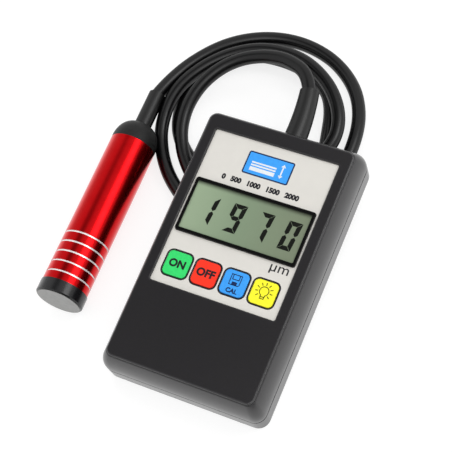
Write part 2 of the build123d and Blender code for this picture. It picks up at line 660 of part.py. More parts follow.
with BuildPart() as display_backlight:
    with BuildSketch(Plane.XY.offset(BOARD_TOP)):
        with Locations((0, DISPLAY_Y)):
            Rectangle(BACKLIGHT_WIDTH, BACKLIGHT_LENGTH)
    extrude(amount=BACKLIGHT_THICKNESS)
finish(display_backlight, "display_backlight", IN_CASE)

with BuildPart() as display_pins:
    with BuildSketch(Plane.XY.offset(BOARD_TOP)):
        with Locations((0, DISPLAY_Y)):
            with GridLocations(PIN_PITCH, GLASS_LENGTH - 2 * PIN_INSET, PIN_COUNT, 2):
                Rectangle(PIN_WIDTH, PIN_WIDTH)
    extrude(amount=BACKLIGHT_THICKNESS)
finish(display_pins, "display_pins", IN_CASE)

# Keys: a cap with a flange under the face and a stem, each over its own switch plunger
for key_name, point in zip(KEY_NAMES, KEY_POINTS):
    with BuildPart() as key:
        with BuildSketch(Plane.XY.offset(FLANGE_BOTTOM)):
            with Locations(point):
                RectangleRounded(KEY_WIDTH + 2 * KEY_FLANGE, KEY_WIDTH + 2 * KEY_FLANGE, KEY_CORNER)
        extrude(amount=KEY_FLANGE_THICKNESS)
        with BuildSketch(Plane.XY.offset(FLANGE_BOTTOM)):
            with Locations(point):
                RectangleRounded(KEY_WIDTH, KEY_WIDTH, KEY_CORNER)
        extrude(amount=KEY_TOP - FLANGE_BOTTOM)
        fillet(key.edges().group_by(Axis.Z)[-1], KEY_EDGE)
        with BuildSketch(Plane.XY.offset(PLUNGER_TOP)):
            with Locations(point):
                Circle(STEM_RADIUS)
        extrude(amount=FLANGE_BOTTOM - PLUNGER_TOP)
    finish(key, f"key_{key_name}", IN_CASE)

    with BuildPart() as plunger:
        with BuildSketch(Plane.XY.offset(SWITCH_TOP - PLUNGER_DEPTH)):
            with Locations(point):
                Circle(PLUNGER_RADIUS)
        extrude(amount=PLUNGER_DEPTH + PLUNGER_PROUD)
    finish(plunger, f"plunger_{key_name}", IN_CASE)

# The four switch bodies on the board
with BuildPart() as switch_bodies:
    with BuildSketch(Plane.XY.offset(BOARD_TOP)):
        with Locations(*KEY_POINTS):
            Rectangle(SWITCH_WIDTH, SWITCH_WIDTH)
    extrude(amount=SWITCH_HEIGHT)
    with BuildSketch(Plane.XY.offset(SWITCH_TOP)):
        with Locations(*KEY_POINTS):
            Circle(PLUNGER_RADIUS + PLUNGER_CLEARANCE)
    extrude(amount=-(PLUNGER_DEPTH + KEY_TRAVEL + PLUNGER_CLEARANCE), mode=Mode.SUBTRACT)
finish(switch_bodies, "switch_bodies", IN_CASE)

# Main board and the screws that hang it from the face
with BuildPart() as main_board:
    with BuildSketch(Plane.XY.offset(BOARD_BOTTOM)):
        with Locations((0, BOARD_MIDDLE_Y)):
            RectangleRounded(BOARD_WIDTH, BOARD_BACK_Y - BOARD_FRONT_Y, BOARD_CORNER)
        with Locations(*BOARD_SCREW_POINTS):
            Circle(BOARD_SCREW_RADIUS + SCREW_CLEARANCE, mode=Mode.SUBTRACT)
    extrude(amount=BOARD_THICKNESS)
finish(main_board, "main_board", IN_CASE)

with BuildPart() as board_screws:
    with BuildSketch(Plane.XY.offset(BOARD_BOTTOM)):
        with Locations(*BOARD_SCREW_POINTS):
            Circle(BOARD_SCREW_RADIUS)
    extrude(amount=BOARD_SCREW_LENGTH)
    with BuildSketch(Plane.XY.offset(BOARD_BOTTOM)):
        with Locations(*BOARD_SCREW_POINTS):
            Circle(BOARD_SCREW_HEAD_RADIUS)
    extrude(amount=-BOARD_SCREW_HEAD_HEIGHT)
finish(board_screws, "board_screws", IN_CASE)

# What is soldered to the board's rear side
with BuildPart() as microcontroller:
    with BuildSketch(Plane.XY.offset(BOARD_BOTTOM)):
        with Locations(CHIP_POINT):
            Rectangle(CHIP_WIDTH, CHIP_WIDTH)
    extrude(amount=-CHIP_HEIGHT)
    with BuildSketch(Plane.XY.offset(BOARD_BOTTOM)):
        with Locations(CHIP_POINT):
            with GridLocations(0, CHIP_LEG_PITCH, 1, CHIP_LEGS):
                Rectangle(CHIP_WIDTH + 2 * CHIP_LEG_REACH, CHIP_LEG_WIDTH)
    extrude(amount=-CHIP_HEIGHT / 2)
finish(microcontroller, "microcontroller", IN_CASE)

with BuildPart() as amplifier_chip:
    with BuildSketch(Plane.XY.offset(BOARD_BOTTOM)):
        with Locations(AMPLIFIER_POINT):
            Rectangle(AMPLIFIER_WIDTH, AMPLIFIER_LENGTH)
    extrude(amount=-CHIP_HEIGHT)
finish(amplifier_chip, "amplifier_chip", IN_CASE)

with BuildPart() as voltage_regulator:
    with BuildSketch(Plane.XY.offset(BOARD_BOTTOM)):
        with Locations(REGULATOR_POINT):
            Circle(REGULATOR_RADIUS)
            with Locations((0, REGULATOR_FLAT + REGULATOR_RADIUS)):
                Rectangle(2 * REGULATOR_RADIUS, 2 * REGULATOR_RADIUS, mode=Mode.SUBTRACT)
    extrude(amount=-REGULATOR_HEIGHT)
finish(voltage_regulator, "voltage_regulator", IN_CASE)

with BuildPart() as quartz_crystal:
    with BuildSketch(Plane.XY.offset(BOARD_BOTTOM)):
        with Locations(CRYSTAL_POINT):
            SlotOverall(CRYSTAL_LENGTH, CRYSTAL_WIDTH)
    extrude(amount=-CRYSTAL_HEIGHT)
finish(quartz_crystal, "quartz_crystal", IN_CASE)

with BuildPart() as filter_capacitor:
    with BuildSketch(Plane.XY.offset(BOARD_BOTTOM)):
        with Locations(CAPACITOR_POINT):
            Circle(CAPACITOR_RADIUS)
    extrude(amount=-CAPACITOR_HEIGHT)
    fillet(filter_capacitor.edges().group_by(Axis.Z)[0], CAPACITOR_EDGE)
finish(filter_capacitor, "filter_capacitor", IN_CASE)

# Nine-volt battery on its side, and the clip on its two terminals
terminal_points = [(BATTERY_Y + end * TERMINAL_SPACING / 2, BATTERY_BOTTOM + BATTERY_THICKNESS / 2) for end in (-1, 1)]
with BuildPart() as battery:
    with BuildSketch(Plane.YZ.offset(BATTERY_X - BATTERY_WIDTH / 2)):
        with Locations((BATTERY_Y, BATTERY_BOTTOM + BATTERY_THICKNESS / 2)):
            RectangleRounded(BATTERY_LENGTH, BATTERY_THICKNESS, BATTERY_CORNER)
    extrude(amount=BATTERY_WIDTH)
    with BuildSketch(Plane.YZ.offset(BATTERY_END_X)):
        with Locations(*terminal_points):
            Circle(TERMINAL_RADIUS)
    extrude(amount=TERMINAL_HEIGHT)
finish(battery, "battery", IN_CASE)

with BuildPart() as battery_clip:
    with BuildSketch(Plane.YZ.offset(BATTERY_END_X)):
        with Locations((BATTERY_Y, BATTERY_BOTTOM + BATTERY_THICKNESS / 2)):
            RectangleRounded(CLIP_LENGTH, CLIP_HEIGHT, CLIP_CORNER)
        with Locations(*terminal_points):
            Circle(TERMINAL_RADIUS + THREAD_CLEARANCE, mode=Mode.SUBTRACT)
    extrude(amount=TERMINAL_HEIGHT)
    with BuildSketch(Plane.YZ.offset(BATTERY_END_X + TERMINAL_HEIGHT)):
        with Locations((BATTERY_Y, BATTERY_BOTTOM + BATTERY_THICKNESS / 2)):
            RectangleRounded(CLIP_LENGTH, CLIP_HEIGHT, CLIP_CORNER)
    extrude(amount=CLIP_THICKNESS - TERMINAL_HEIGHT)
finish(battery_clip, "battery_clip", IN_CASE)

# Two leads from the clip through the notch in the bay wall, up to the board
LEAD_HEIGHT = BATTERY_BOTTOM + BATTERY_THICKNESS / 2
LEAD_X = BATTERY_END_X + CLIP_THICKNESS / 2
with BuildPart() as battery_leads:
    for side in (-1, 1):
        lead_x = LEAD_X + side * BATTERY_LEAD_SPACING / 4
        start = (lead_x, BATTERY_Y + CLIP_LENGTH / 2, LEAD_HEIGHT)
        turn = (lead_x, BOARD_FRONT_Y + BATTERY_LEAD_REACH, LEAD_HEIGHT)
        end = (lead_x, BOARD_FRONT_Y + BATTERY_LEAD_REACH, BOARD_BOTTOM)
        with BuildLine() as lead_path:
            FilletPolyline(start, turn, end, radius=LEAD_BEND)
        with BuildSketch(Plane(origin=start, z_dir=(0, 1, 0))):
            Circle(LEAD_RADIUS)
        sweep(path=lead_path.line)
finish(battery_leads, "battery_leads", IN_CASE)

# Strap over the cable tail, and its two screws
with BuildPart() as cable_clamp:
    with BuildSketch(Plane.XZ.offset(-TAIL_END_Y)):
        with Locations((SLEEVE_X, PARTING_HEIGHT)):
            Circle(CLAMP_BORE + CLAMP_WALL)
            with Locations((0, CLAMP_WALL / 2)):
                Rectangle(2 * CLAMP_HALF_WIDTH, CLAMP_WALL)
            with Locations((0, -CLAMP_HALF_WIDTH)):
                Rectangle(2 * CLAMP_HALF_WIDTH, 2 * CLAMP_HALF_WIDTH, mode=Mode.SUBTRACT)
            Circle(CLAMP_BORE, mode=Mode.SUBTRACT)
    extrude(amount=-CLAMP_LENGTH)
    with BuildSketch(Plane.XY.offset(PARTING_HEIGHT)):
        with Locations(*CLAMP_SCREW_POINTS):
            Circle(BOARD_SCREW_RADIUS + SCREW_CLEARANCE)
    extrude(amount=CLAMP_WALL, mode=Mode.SUBTRACT)
finish(cable_clamp, "cable_clamp", IN_CASE)

with BuildPart() as clamp_screws:
    with BuildSketch(Plane.XY.offset(PARTING_HEIGHT + CLAMP_WALL)):
        with Locations(*CLAMP_SCREW_POINTS):
            Circle(BOARD_SCREW_RADIUS)
    extrude(amount=-CLAMP_SCREW_LENGTH)
    with BuildSketch(Plane.XY.offset(PARTING_HEIGHT + CLAMP_WALL)):
        with Locations(*CLAMP_SCREW_POINTS):
            Circle(CLAMP_EAR / 2)
    extrude(amount=BOARD_SCREW_HEAD_HEIGHT)
finish(clamp_screws, "clamp_screws", IN_CASE)

# Leads from the cable tail to the board
with BuildPart() as signal_leads:
    for lead_x in SIGNAL_LEAD_XS:
        lead_x += SLEEVE_X
        start = (lead_x, TAIL_END_Y, PARTING_HEIGHT)
        turn = (lead_x, TAIL_END_Y - SIGNAL_LEAD_REACH, PARTING_HEIGHT)
        end = (lead_x, TAIL_END_Y - SIGNAL_LEAD_REACH, BOARD_BOTTOM)
        with BuildLine() as lead_path:
            FilletPolyline(start, turn, end, radius=LEAD_BEND)
        with BuildSketch(Plane(origin=start, z_dir=(0, -1, 0))):
            Circle(LEAD_RADIUS)
        sweep(path=lead_path.line)
finish(signal_leads, "signal_leads", IN_CASE)

# Bend sleeve at the case: a tail and a flange inside, and a tapered, slightly bent outside
with BuildPart() as instrument_sleeve:
    with BuildSketch(Plane.XY):
        with Locations((0, -SLEEVE_TAIL)):
            Rectangle(CABLE_RADIUS, SLEEVE_TAIL, align=(Align.MIN, Align.MIN))
        with Locations((0, -SLEEVE_FLANGE_SETBACK)):
            Rectangle(SLEEVE_ROOT_RADIUS, SLEEVE_FLANGE_SETBACK, align=(Align.MIN, Align.MIN))
            Rectangle(SLEEVE_FLANGE_RADIUS, SLEEVE_FLANGE_THICKNESS, align=(Align.MIN, Align.MAX))
    revolve(axis=Axis.Y)
    for station in range(SLEEVE_STATIONS):
        share = station / (SLEEVE_STATIONS - 1)
        with BuildSketch(sleeve_plane(share * SLEEVE_LENGTH)):
            Circle(SLEEVE_ROOT_RADIUS - share * (SLEEVE_ROOT_RADIUS - SLEEVE_TIP_RADIUS))
    loft()
finish(instrument_sleeve, "instrument_sleeve", IN_SLEEVE)

# Probe tube with five turned rings
with BuildPart() as probe_barrel:
    with BuildSketch(Plane.XY):
        with Locations((0, COLLAR_LENGTH)):
            Rectangle(PROBE_RADIUS, PROBE_TUBE_LENGTH, align=(Align.MIN, Align.MIN))
            Rectangle(TUBE_BORE, PROBE_TUBE_LENGTH, align=(Align.MIN, Align.MIN), mode=Mode.SUBTRACT)
        for ring in range(RING_COUNT):
            with Locations((PROBE_RADIUS, RING_FIRST + ring * RING_PITCH)):
                Rectangle(2 * RING_DEPTH, RING_WIDTH, mode=Mode.SUBTRACT)
    revolve(axis=Axis.Y)
finish(probe_barrel, "probe_barrel", IN_PROBE)

# Black collar that holds the sensing disc, with a spigot inside the tube
spigot = TUBE_BORE - SPIGOT_CLEARANCE
with BuildPart() as probe_collar:
    with BuildSketch(Plane.XY):
        with BuildLine():
            Polyline(
                (BOBBIN_RADIUS + BOBBIN_CLEARANCE, SENSING_BACK),
                (SENSING_RADIUS + SENSING_CLEARANCE, SENSING_BACK),
                (SENSING_RADIUS + SENSING_CLEARANCE, 0),
                (COLLAR_RADIUS - COLLAR_EDGE, 0),
                (COLLAR_RADIUS, COLLAR_EDGE),
                (COLLAR_RADIUS, COLLAR_LENGTH),
                (spigot, COLLAR_LENGTH),
                (spigot, COLLAR_LENGTH + SPIGOT_LENGTH),
                (BOBBIN_RADIUS + BOBBIN_CLEARANCE, COLLAR_LENGTH + SPIGOT_LENGTH),
                close=True,
            )
        make_face()
    revolve(axis=Axis.Y)
finish(probe_collar, "probe_collar", IN_PROBE)

# Sensing disc, a little proud of the collar
with BuildPart() as probe_face:
    with BuildSketch(Plane.XZ.offset(SENSING_PROUD)):
        Circle(SENSING_RADIUS)
    extrude(amount=-SENSING_THICKNESS)
finish(probe_face, "probe_face", IN_PROBE)

# Sensor: a core on the disc, a bobbin on the core and a coil on the bobbin
with BuildPart() as sensor_core:
    with BuildSketch(Plane.XZ.offset(-SENSING_BACK)):
        Circle(CORE_RADIUS)
    extrude(amount=-CORE_LENGTH)
finish(sensor_core, "sensor_core", IN_PROBE)

with BuildPart() as sensor_bobbin:
    with BuildSketch(Plane.XY):
        with Locations((0, SENSING_BACK)):
            Rectangle(BOBBIN_RADIUS, BOBBIN_LENGTH, align=(Align.MIN, Align.MIN))
            Rectangle(BOBBIN_BORE, BOBBIN_LENGTH, align=(Align.MIN, Align.MIN), mode=Mode.SUBTRACT)
        with Locations((BOBBIN_BORE + BOBBIN_TUBE, SENSING_BACK + BOBBIN_FLANGE)):
            Rectangle(
                BOBBIN_RADIUS,
                BOBBIN_LENGTH - 2 * BOBBIN_FLANGE,
                align=(Align.MIN, Align.MIN),
                mode=Mode.SUBTRACT,
            )
    revolve(axis=Axis.Y)
finish(sensor_bobbin, "sensor_bobbin", IN_PROBE)

with BuildPart() as sensor_coil:
    winding_inside = BOBBIN_BORE + BOBBIN_TUBE + COIL_CLEARANCE
    with BuildSketch(Plane.XY):
        with Locations((winding_inside, SENSING_BACK + BOBBIN_FLANGE + COIL_CLEARANCE)):
            Rectangle(
                COIL_RADIUS - winding_inside,
                BOBBIN_LENGTH - 2 * (BOBBIN_FLANGE + COIL_CLEARANCE),
                align=(Align.MIN, Align.MIN),
            )
    revolve(axis=Axis.Y)
finish(sensor_coil, "sensor_coil", IN_PROBE)

# Rear cap: a spigot in the tube, a short band and a dome with a bore for the sleeve
cap_bore = PROBE_SLEEVE_RADIUS + SPIGOT_CLEARANCE
with BuildPart() as probe_rear_cap:
    with BuildSketch(Plane.XY):
        with BuildLine():
            Line((cap_bore, TUBE_END - SPIGOT_LENGTH), (spigot, TUBE_END - SPIGOT_LENGTH))
            Line((spigot, TUBE_END - SPIGOT_LENGTH), (spigot, TUBE_END))
            Line((spigot, TUBE_END), (PROBE_RADIUS, TUBE_END))
            Line((PROBE_RADIUS, TUBE_END), (PROBE_RADIUS, TUBE_END + CAP_BASE))
            EllipticalCenterArc(
                (cap_bore, TUBE_END + CAP_BASE),
                PROBE_RADIUS - cap_bore,
                CAP_LENGTH - CAP_BASE,
                start_angle=0,
                arc_size=90,
            )
            Line((cap_bore, CAP_END), (cap_bore, TUBE_END - SPIGOT_LENGTH))
        make_face()
    revolve(axis=Axis.Y)
finish(probe_rear_cap, "probe_rear_cap", IN_PROBE)

# Leads from the sensor up the tube to the cable
with BuildPart() as probe_leads:
    with BuildSketch(Plane.XZ.offset(-BOBBIN_END)):
        with Locations((-PROBE_LEAD_X, 0), (PROBE_LEAD_X, 0)):
            Circle(PROBE_LEAD_RADIUS)
    extrude(amount=-(CAP_END - PROBE_SLEEVE_TAIL - BOBBIN_END))
finish(probe_leads, "probe_leads", IN_PROBE)

# Bend sleeve at the probe
with BuildPart() as probe_sleeve:
    with BuildSketch(Plane.XZ.offset(-(CAP_END - PROBE_SLEEVE_TAIL))):
        Circle(PROBE_SLEEVE_RADIUS)
    extrude(amount=-(PROBE_SLEEVE_TAIL + PROBE_SLEEVE_LENGTH))
finish(probe_sleeve, "probe_sleeve", IN_PROBE)

# Cable: straight runs with a rounded corner at each point of its route
sleeve_tip = IN_SLEEVE * sleeve_plane(SLEEVE_LENGTH).location
cable_start = sleeve_tip.position
cable_lead_out = cable_start + sleeve_tip.z_axis.direction * CABLE_FIRST_RUN
cable_lead_in = (IN_PROBE * Location((0, CAP_END + PROBE_SLEEVE_LENGTH + CABLE_LAST_RUN, 0))).position
cable_end = (IN_PROBE * Location((0, CAP_END + PROBE_SLEEVE_LENGTH, 0))).position
cable_points = [cable_start, cable_lead_out, *(Vector(point) for point in CABLE_ROUTE), cable_lead_in, cable_end]
cable_radii = []
for before, corner, after in zip(cable_points, cable_points[1:], cable_points[2:]):
    run_in, run_out = corner - before, after - corner
    half_turn = radians(run_in.get_angle(run_out)) / 2
    cable_radii.append(CABLE_CORNER_SHARE * min(run_in.length, run_out.length) / tan(half_turn))

with BuildPart() as probe_cable:
    with BuildLine() as cable_path:
        FilletPolyline(*cable_points, radius=cable_radii)
    with BuildSketch(Plane(origin=cable_start, z_dir=cable_lead_out - cable_start)):
        Circle(CABLE_RADIUS)
    sweep(path=cable_path.line)
finish(probe_cable, "probe_cable", ON_FLOOR)

cable_length = cable_path.wires()[0].length
cable_volume = CABLE_RADIUS**2 * pi * cable_length
print("cable points in metres:", [tuple(round(value / 1000, 5) for value in point) for point in cable_points])
print("cable corner radii, mm:", [round(radius, 1) for radius in cable_radii])
print("cable length", round(cable_length, 1), "volume share", round(probe_cable.part.volume / cable_volume, 4))
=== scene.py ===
# %% [markdown]
# # A coating thickness gauge, dressed
# The object is a flat black instrument with a display and four keys, a red aluminium probe, and one black
# cable that joins them and is wound into a coil under and behind the case. Its solids come from CAD and are
# already in their places. This lesson gives them their finishes, adds the thin printed and drawn things, and
# lays the cable as one smooth curve. It starts by loading the solids as a fixed frame.

# %% Load the frame
import json
from math import cos, pi, radians, sin

import bmesh
import bpy
from mathutils import Matrix, Vector


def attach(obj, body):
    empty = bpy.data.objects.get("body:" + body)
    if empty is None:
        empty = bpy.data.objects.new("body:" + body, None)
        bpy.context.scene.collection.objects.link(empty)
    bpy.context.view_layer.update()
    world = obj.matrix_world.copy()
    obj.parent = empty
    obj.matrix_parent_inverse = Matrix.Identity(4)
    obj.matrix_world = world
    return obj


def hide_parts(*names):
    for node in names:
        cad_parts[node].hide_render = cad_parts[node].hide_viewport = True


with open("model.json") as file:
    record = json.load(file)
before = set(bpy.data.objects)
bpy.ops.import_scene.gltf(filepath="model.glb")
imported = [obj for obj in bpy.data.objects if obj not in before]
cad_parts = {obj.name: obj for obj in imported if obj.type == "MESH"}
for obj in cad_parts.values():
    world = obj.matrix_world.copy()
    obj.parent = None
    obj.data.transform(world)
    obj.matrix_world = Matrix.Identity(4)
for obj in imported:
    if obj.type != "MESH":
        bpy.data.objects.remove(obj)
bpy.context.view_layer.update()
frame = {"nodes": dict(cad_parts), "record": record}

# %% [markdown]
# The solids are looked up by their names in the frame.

nodes = frame["nodes"]

# %% [markdown]
# The camera looks down on the front from its lower right. A product photograph is taken from far away with a
# long lens, so that the far end of the case is nearly as wide as the near end. Its place and turn could be
# aimed by hand with a Track To constraint. Here they are typed in, because they were found once by fitting
# the corners of the label and of the case.

# %% Camera
MM = 0.001
camera_data = bpy.data.cameras.new("camera")
camera_data.sensor_width = 36
camera_data.lens = 111.5
camera_data.clip_start = 0.02
camera = bpy.data.objects.new("camera", camera_data)
camera.location = (193.71 * MM, -203.14 * MM, 517.85 * MM)
camera.rotation_euler = (radians(28.222), radians(8.991), radians(24.020))
bpy.context.scene.collection.objects.link(camera)
bpy.context.scene.camera = camera
print("camera to origin, mm", round(camera.location.length / MM))

# %% [markdown]
# The cable is a round rubber lead 6 mm thick. It leaves the case through the sleeve, makes its first turn
# high over the others, goes round under the raised end of the case and back three times, and runs into the
# probe's tail. It could be a chain of tubes, but a lead bends evenly, so it is one NURBS curve with a round
# bevel. The points follow the CAD route in millimetres, drawn a little nearer to the real strands.

# %% Cable route
cable_route = [
    (20.8, 80.82, 23.91), (19.3, 83.5, 24.2), (17.5, 86.3, 24.3), (15.3, 88.7, 24.3), (12.4, 90.7, 24.1),
    (7.6, 92.5, 23.6), (2.0, 93.8, 22.8), (-6.8, 93.0, 21.5), (-16.2, 89.4, 20.0), (-24.2, 82.5, 17.9),
    (-29.6, 72.8, 15.6), (-31.4, 61.3, 13.1), (-28.9, 49.7, 10.7), (-21.4, 38.4, 8.1), (-8.4, 28.6, 4.5),
    (5.4, 24.9, 3.3), (17.6, 27.0, 3.0), (26.9, 34.7, 3.0), (32.4, 46.5, 3.0), (32.9, 60.2, 3.0),
    (29.6, 73.9, 3.2), (26.5, 86.1, 3.2), (20.5, 96.1, 3.2), (7.5, 102.6, 4.2), (-9.7, 104.0, 4.7),
    (-24.6, 100.3, 4.0), (-36.1, 89.4, 3.0), (-39.4, 74.4, 3.0), (-36.6, 59.4, 3.0), (-28.9, 48.6, 3.0),
    (-18.4, 41.3, 3.0), (-6.8, 38.0, 3.0), (4.9, 37.8, 4.1), (16.1, 42.1, 5.7), (25.5, 49.3, 7.6),
    (32.0, 58.8, 9.1), (35.9, 70.1, 10.3), (32.7, 82.5, 11.9), (22.9, 93.9, 13.9), (8.0, 101.1, 15.3),
    (-9.2, 101.5, 14.7), (-23.2, 95.7, 13.1), (-34.2, 85.2, 11.6), (-41.4, 70.9, 10.6), (-41.7, 54.9, 6.5),
    (-35.5, 41.7, 4.3), (-25.3, 30.1, 5.0), (-9.9, 20.3, 5.0), (8.6, 16.9, 4.2), (25.7, 23.9, 3.6),
    (37.6, 40.2, 3.7), (42.6, 61.3, 4.2), (41.6, 80.8, 4.6), (35.9, 95.0, 3.8), (27.1, 105.3, 3.0),
    (15.0, 112.8, 3.0), (-0.5, 115.8, 3.7), (-16.2, 112.7, 4.9), (-30.2, 103.5, 6.7), (-40.6, 89.2, 8.2),
    (-46.6, 74.1, 9.4), (-47.81, 66.03, 10.4),
]
print("route points", len(cable_route))

# %% [markdown]
# A NURBS curve of order 3 passes smoothly between its control points, and "endpoint" makes it start and end
# on the first and last of them. Both are set after the points are added, because a new spline has only one
# point and would fall back to straight runs. The thickness is given at each point, with a bevel of 1, because
# Blender measures the curve's box from the radius of its points.

# %% Cable
CABLE_DIAMETER = 6.0 * MM


def smooth_lead(name, route, diameter):
    """A round lead along the route, as one open NURBS curve."""
    curve = bpy.data.curves.new(name, "CURVE")
    curve.dimensions = "3D"
    curve.bevel_depth = 1.0
    curve.bevel_resolution = 6
    curve.resolution_u = 10
    spline = curve.splines.new("NURBS")
    spline.points.add(len(route) - 1)
    for point, place in zip(spline.points, route):
        point.co = (place[0] * MM, place[1] * MM, place[2] * MM, 1.0)
        point.radius = diameter / 2
    spline.order_u = 3
    spline.use_endpoint_u = True
    lead = bpy.data.objects.new(name, curve)
    bpy.context.scene.collection.objects.link(lead)
    return lead


cable = smooth_lead("cable", cable_route, CABLE_DIAMETER)
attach(cable, "gauge")
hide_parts("probe_cable")
print("cable spline points", len(cable.data.splines[0].points))

# %% [markdown]
# The table is a wide white sheet that curves up nowhere, because the camera only looks down. Its colour is a
# pale paper white, and a little plain light is added for what the camera and the mirror-like surfaces see of
# it, so that it reads as white while the shadow of the gauge stays on it.

# %% Table
TABLE_SIZE = 6.0
TABLE_GREY = 0.32
TABLE_SEEN = 0.78
TABLE_MIRRORED = 1.1


def shader_of(name):
    """A new node material: the material, its node tree and its main shader."""
    made = bpy.data.materials.new(name)
    made.use_nodes = True
    tree = made.node_tree
    return made, tree, tree.nodes["Principled BSDF"]


def seen_light(tree, strength, mirrored):
    """An output: strength for camera rays, mirrored for glossy and transmitted rays, and 0 for the rest."""
    path = tree.nodes.new("ShaderNodeLightPath")
    shine = tree.nodes.new("ShaderNodeMath")
    shine.operation = "MAXIMUM"
    share = tree.nodes.new("ShaderNodeMath")
    share.operation = "MULTIPLY"
    share.inputs[1].default_value = mirrored / strength
    either = tree.nodes.new("ShaderNodeMath")
    either.operation = "MAXIMUM"
    scaled = tree.nodes.new("ShaderNodeMath")
    scaled.operation = "MULTIPLY"
    scaled.inputs[1].default_value = strength
    tree.links.new(path.outputs["Is Glossy Ray"], shine.inputs[0])
    tree.links.new(path.outputs["Is Transmission Ray"], shine.inputs[1])
    tree.links.new(shine.outputs[0], share.inputs[0])
    tree.links.new(share.outputs[0], either.inputs[0])
    tree.links.new(path.outputs["Is Camera Ray"], either.inputs[1])
    tree.links.new(either.outputs[0], scaled.inputs[0])
    return scaled.outputs[0]


def table_sheet(size):
    """A square sheet on the ground, with a few rows of faces."""
    mesh = bpy.data.meshes.new("table")
    bm = bmesh.new()
    bmesh.ops.create_grid(bm, x_segments=4, y_segments=4, size=size / 2)
    bm.to_mesh(mesh)
    bm.free()
    sheet = bpy.data.objects.new("table", mesh)
    bpy.context.scene.collection.objects.link(sheet)
    return sheet


table = table_sheet(TABLE_SIZE)
paper, tree, shader = shader_of("white paper")
shader.inputs["Base Color"].default_value = (TABLE_GREY, TABLE_GREY, TABLE_GREY, 1)
shader.inputs["Roughness"].default_value = 0.9
shader.inputs["Specular IOR Level"].default_value = 0.0
shader.inputs["Emission Color"].default_value = (1, 1, 1, 1)
tree.links.new(seen_light(tree, TABLE_SEEN, TABLE_MIRRORED), shader.inputs["Emission Strength"])
table.data.materials.append(paper)
print("table", TABLE_SIZE, "m")

# %% [markdown]
# The light is that of a white studio tent: an even white surround, a large soft lamp behind and to the left,
# a smaller one behind to the right that draws the bright streak on the probe, and a wide one beside the
# camera that draws the soft line along the middle of the cable. The left one lights without being mirrored,
# so that it draws no streak of its own. Two places of the tent are dark for anything that mirrors them. One
# is its front, which is open where the camera stands, and it keeps the near flank of the cable black. The
# other is a black card overhead, as photographers hang one so that a black face stays black. Each is given
# as its direction, how near to it the darkness starts and is full, and how deep it is.

# %% Light
SURROUND = 0.62
FRONT = ((0.69, -0.72, 0.03), 0.60, 0.85, 0.85)
CARD = ((-0.33, 0.15, 0.93), 0.94, 0.985, 0.90)


def dark_place(tree, towards, near, full, depth):
    """How much darker the tent is around a direction, from 0 at one nearness to depth at another."""
    direction = tree.nodes.new("ShaderNodeTexCoord")
    nearness = tree.nodes.new("ShaderNodeVectorMath")
    nearness.operation = "DOT_PRODUCT"
    nearness.inputs[1].default_value = towards
    share = tree.nodes.new("ShaderNodeMapRange")
    share.inputs["From Min"].default_value = near
    share.inputs["From Max"].default_value = full
    share.inputs["To Max"].default_value = depth
    tree.links.new(direction.outputs["Generated"], nearness.inputs[0])
    tree.links.new(nearness.outputs["Value"], share.inputs["Value"])
    return share.outputs[0]


def dark_places(tree):
    """Both dark places together, for mirrored rays only."""
    path = tree.nodes.new("ShaderNodeLightPath")
    both = tree.nodes.new("ShaderNodeMath")
    both.operation = "ADD"
    taken = tree.nodes.new("ShaderNodeMath")
    taken.operation = "MULTIPLY"
    tree.links.new(dark_place(tree, *FRONT), both.inputs[0])
    tree.links.new(dark_place(tree, *CARD), both.inputs[1])
    tree.links.new(both.outputs[0], taken.inputs[0])
    tree.links.new(path.outputs["Is Glossy Ray"], taken.inputs[1])
    return taken.outputs[0]


def white_surround(strength):
    """A world that is plain white to look at, and a light of that strength."""
    world = bpy.data.worlds.new("white tent")
    world.use_nodes = True
    tree = world.node_tree
    background = tree.nodes["Background"]
    background.inputs["Color"].default_value = (1, 1, 1, 1)
    seen = tree.nodes.new("ShaderNodeMath")
    seen.operation = "ADD"
    seen.inputs[1].default_value = strength
    left = tree.nodes.new("ShaderNodeMath")
    left.operation = "SUBTRACT"
    tree.links.new(seen_light(tree, 1 - strength, 1 - strength), seen.inputs[0])
    tree.links.new(seen.outputs[0], left.inputs[0])
    tree.links.new(dark_places(tree), left.inputs[1])
    tree.links.new(left.outputs[0], background.inputs["Strength"])
    bpy.context.scene.world = world


def soft_lamp(name, place, aim, size, power):
    """A square area lamp at a place, turned to its aim."""
    data = bpy.data.lights.new(name, "AREA")
    data.shape = "SQUARE"
    data.size = size
    data.energy = power
    lamp = bpy.data.objects.new(name, data)
    lamp.location = place
    lamp.rotation_euler = (Vector(aim) - Vector(place)).to_track_quat("-Z", "Y").to_euler()
    bpy.context.scene.collection.objects.link(lamp)
    return lamp


white_surround(SURROUND)
left_lamp = soft_lamp("left_lamp", (-0.45, 0.55, 0.75), (0, 0, 0), 0.5, 1.6)
left_lamp.visible_glossy = False
soft_lamp("right_lamp", (0.53, 0.36, 0.77), (0, 0, 0), 0.42, 2.0)
soft_lamp("camera_lamp", (0.27, -0.29, 0.76), (0, 0, 0), 0.5, 1.6)
bpy.context.scene.view_settings.view_transform = "Standard"

# %% [markdown]
# Every finish here starts from the same few habits. Real surfaces are never one flat colour, so a fine noise
# moves the colour a little, and another noise gives the surface its small bumps. The noise is measured on the
# object itself, so it stays with it from every side.

# %% Shared finish helpers
def noise_of(tree, size, detail=2.0):
    """Noise with grains of that size in metres, as its factor output."""
    place = tree.nodes.new("ShaderNodeTexCoord")
    noise = tree.nodes.new("ShaderNodeTexNoise")
    noise.inputs["Scale"].default_value = 1 / size
    noise.inputs["Detail"].default_value = detail
    tree.links.new(place.outputs["Object"], noise.inputs["Vector"])
    return noise.outputs[0]


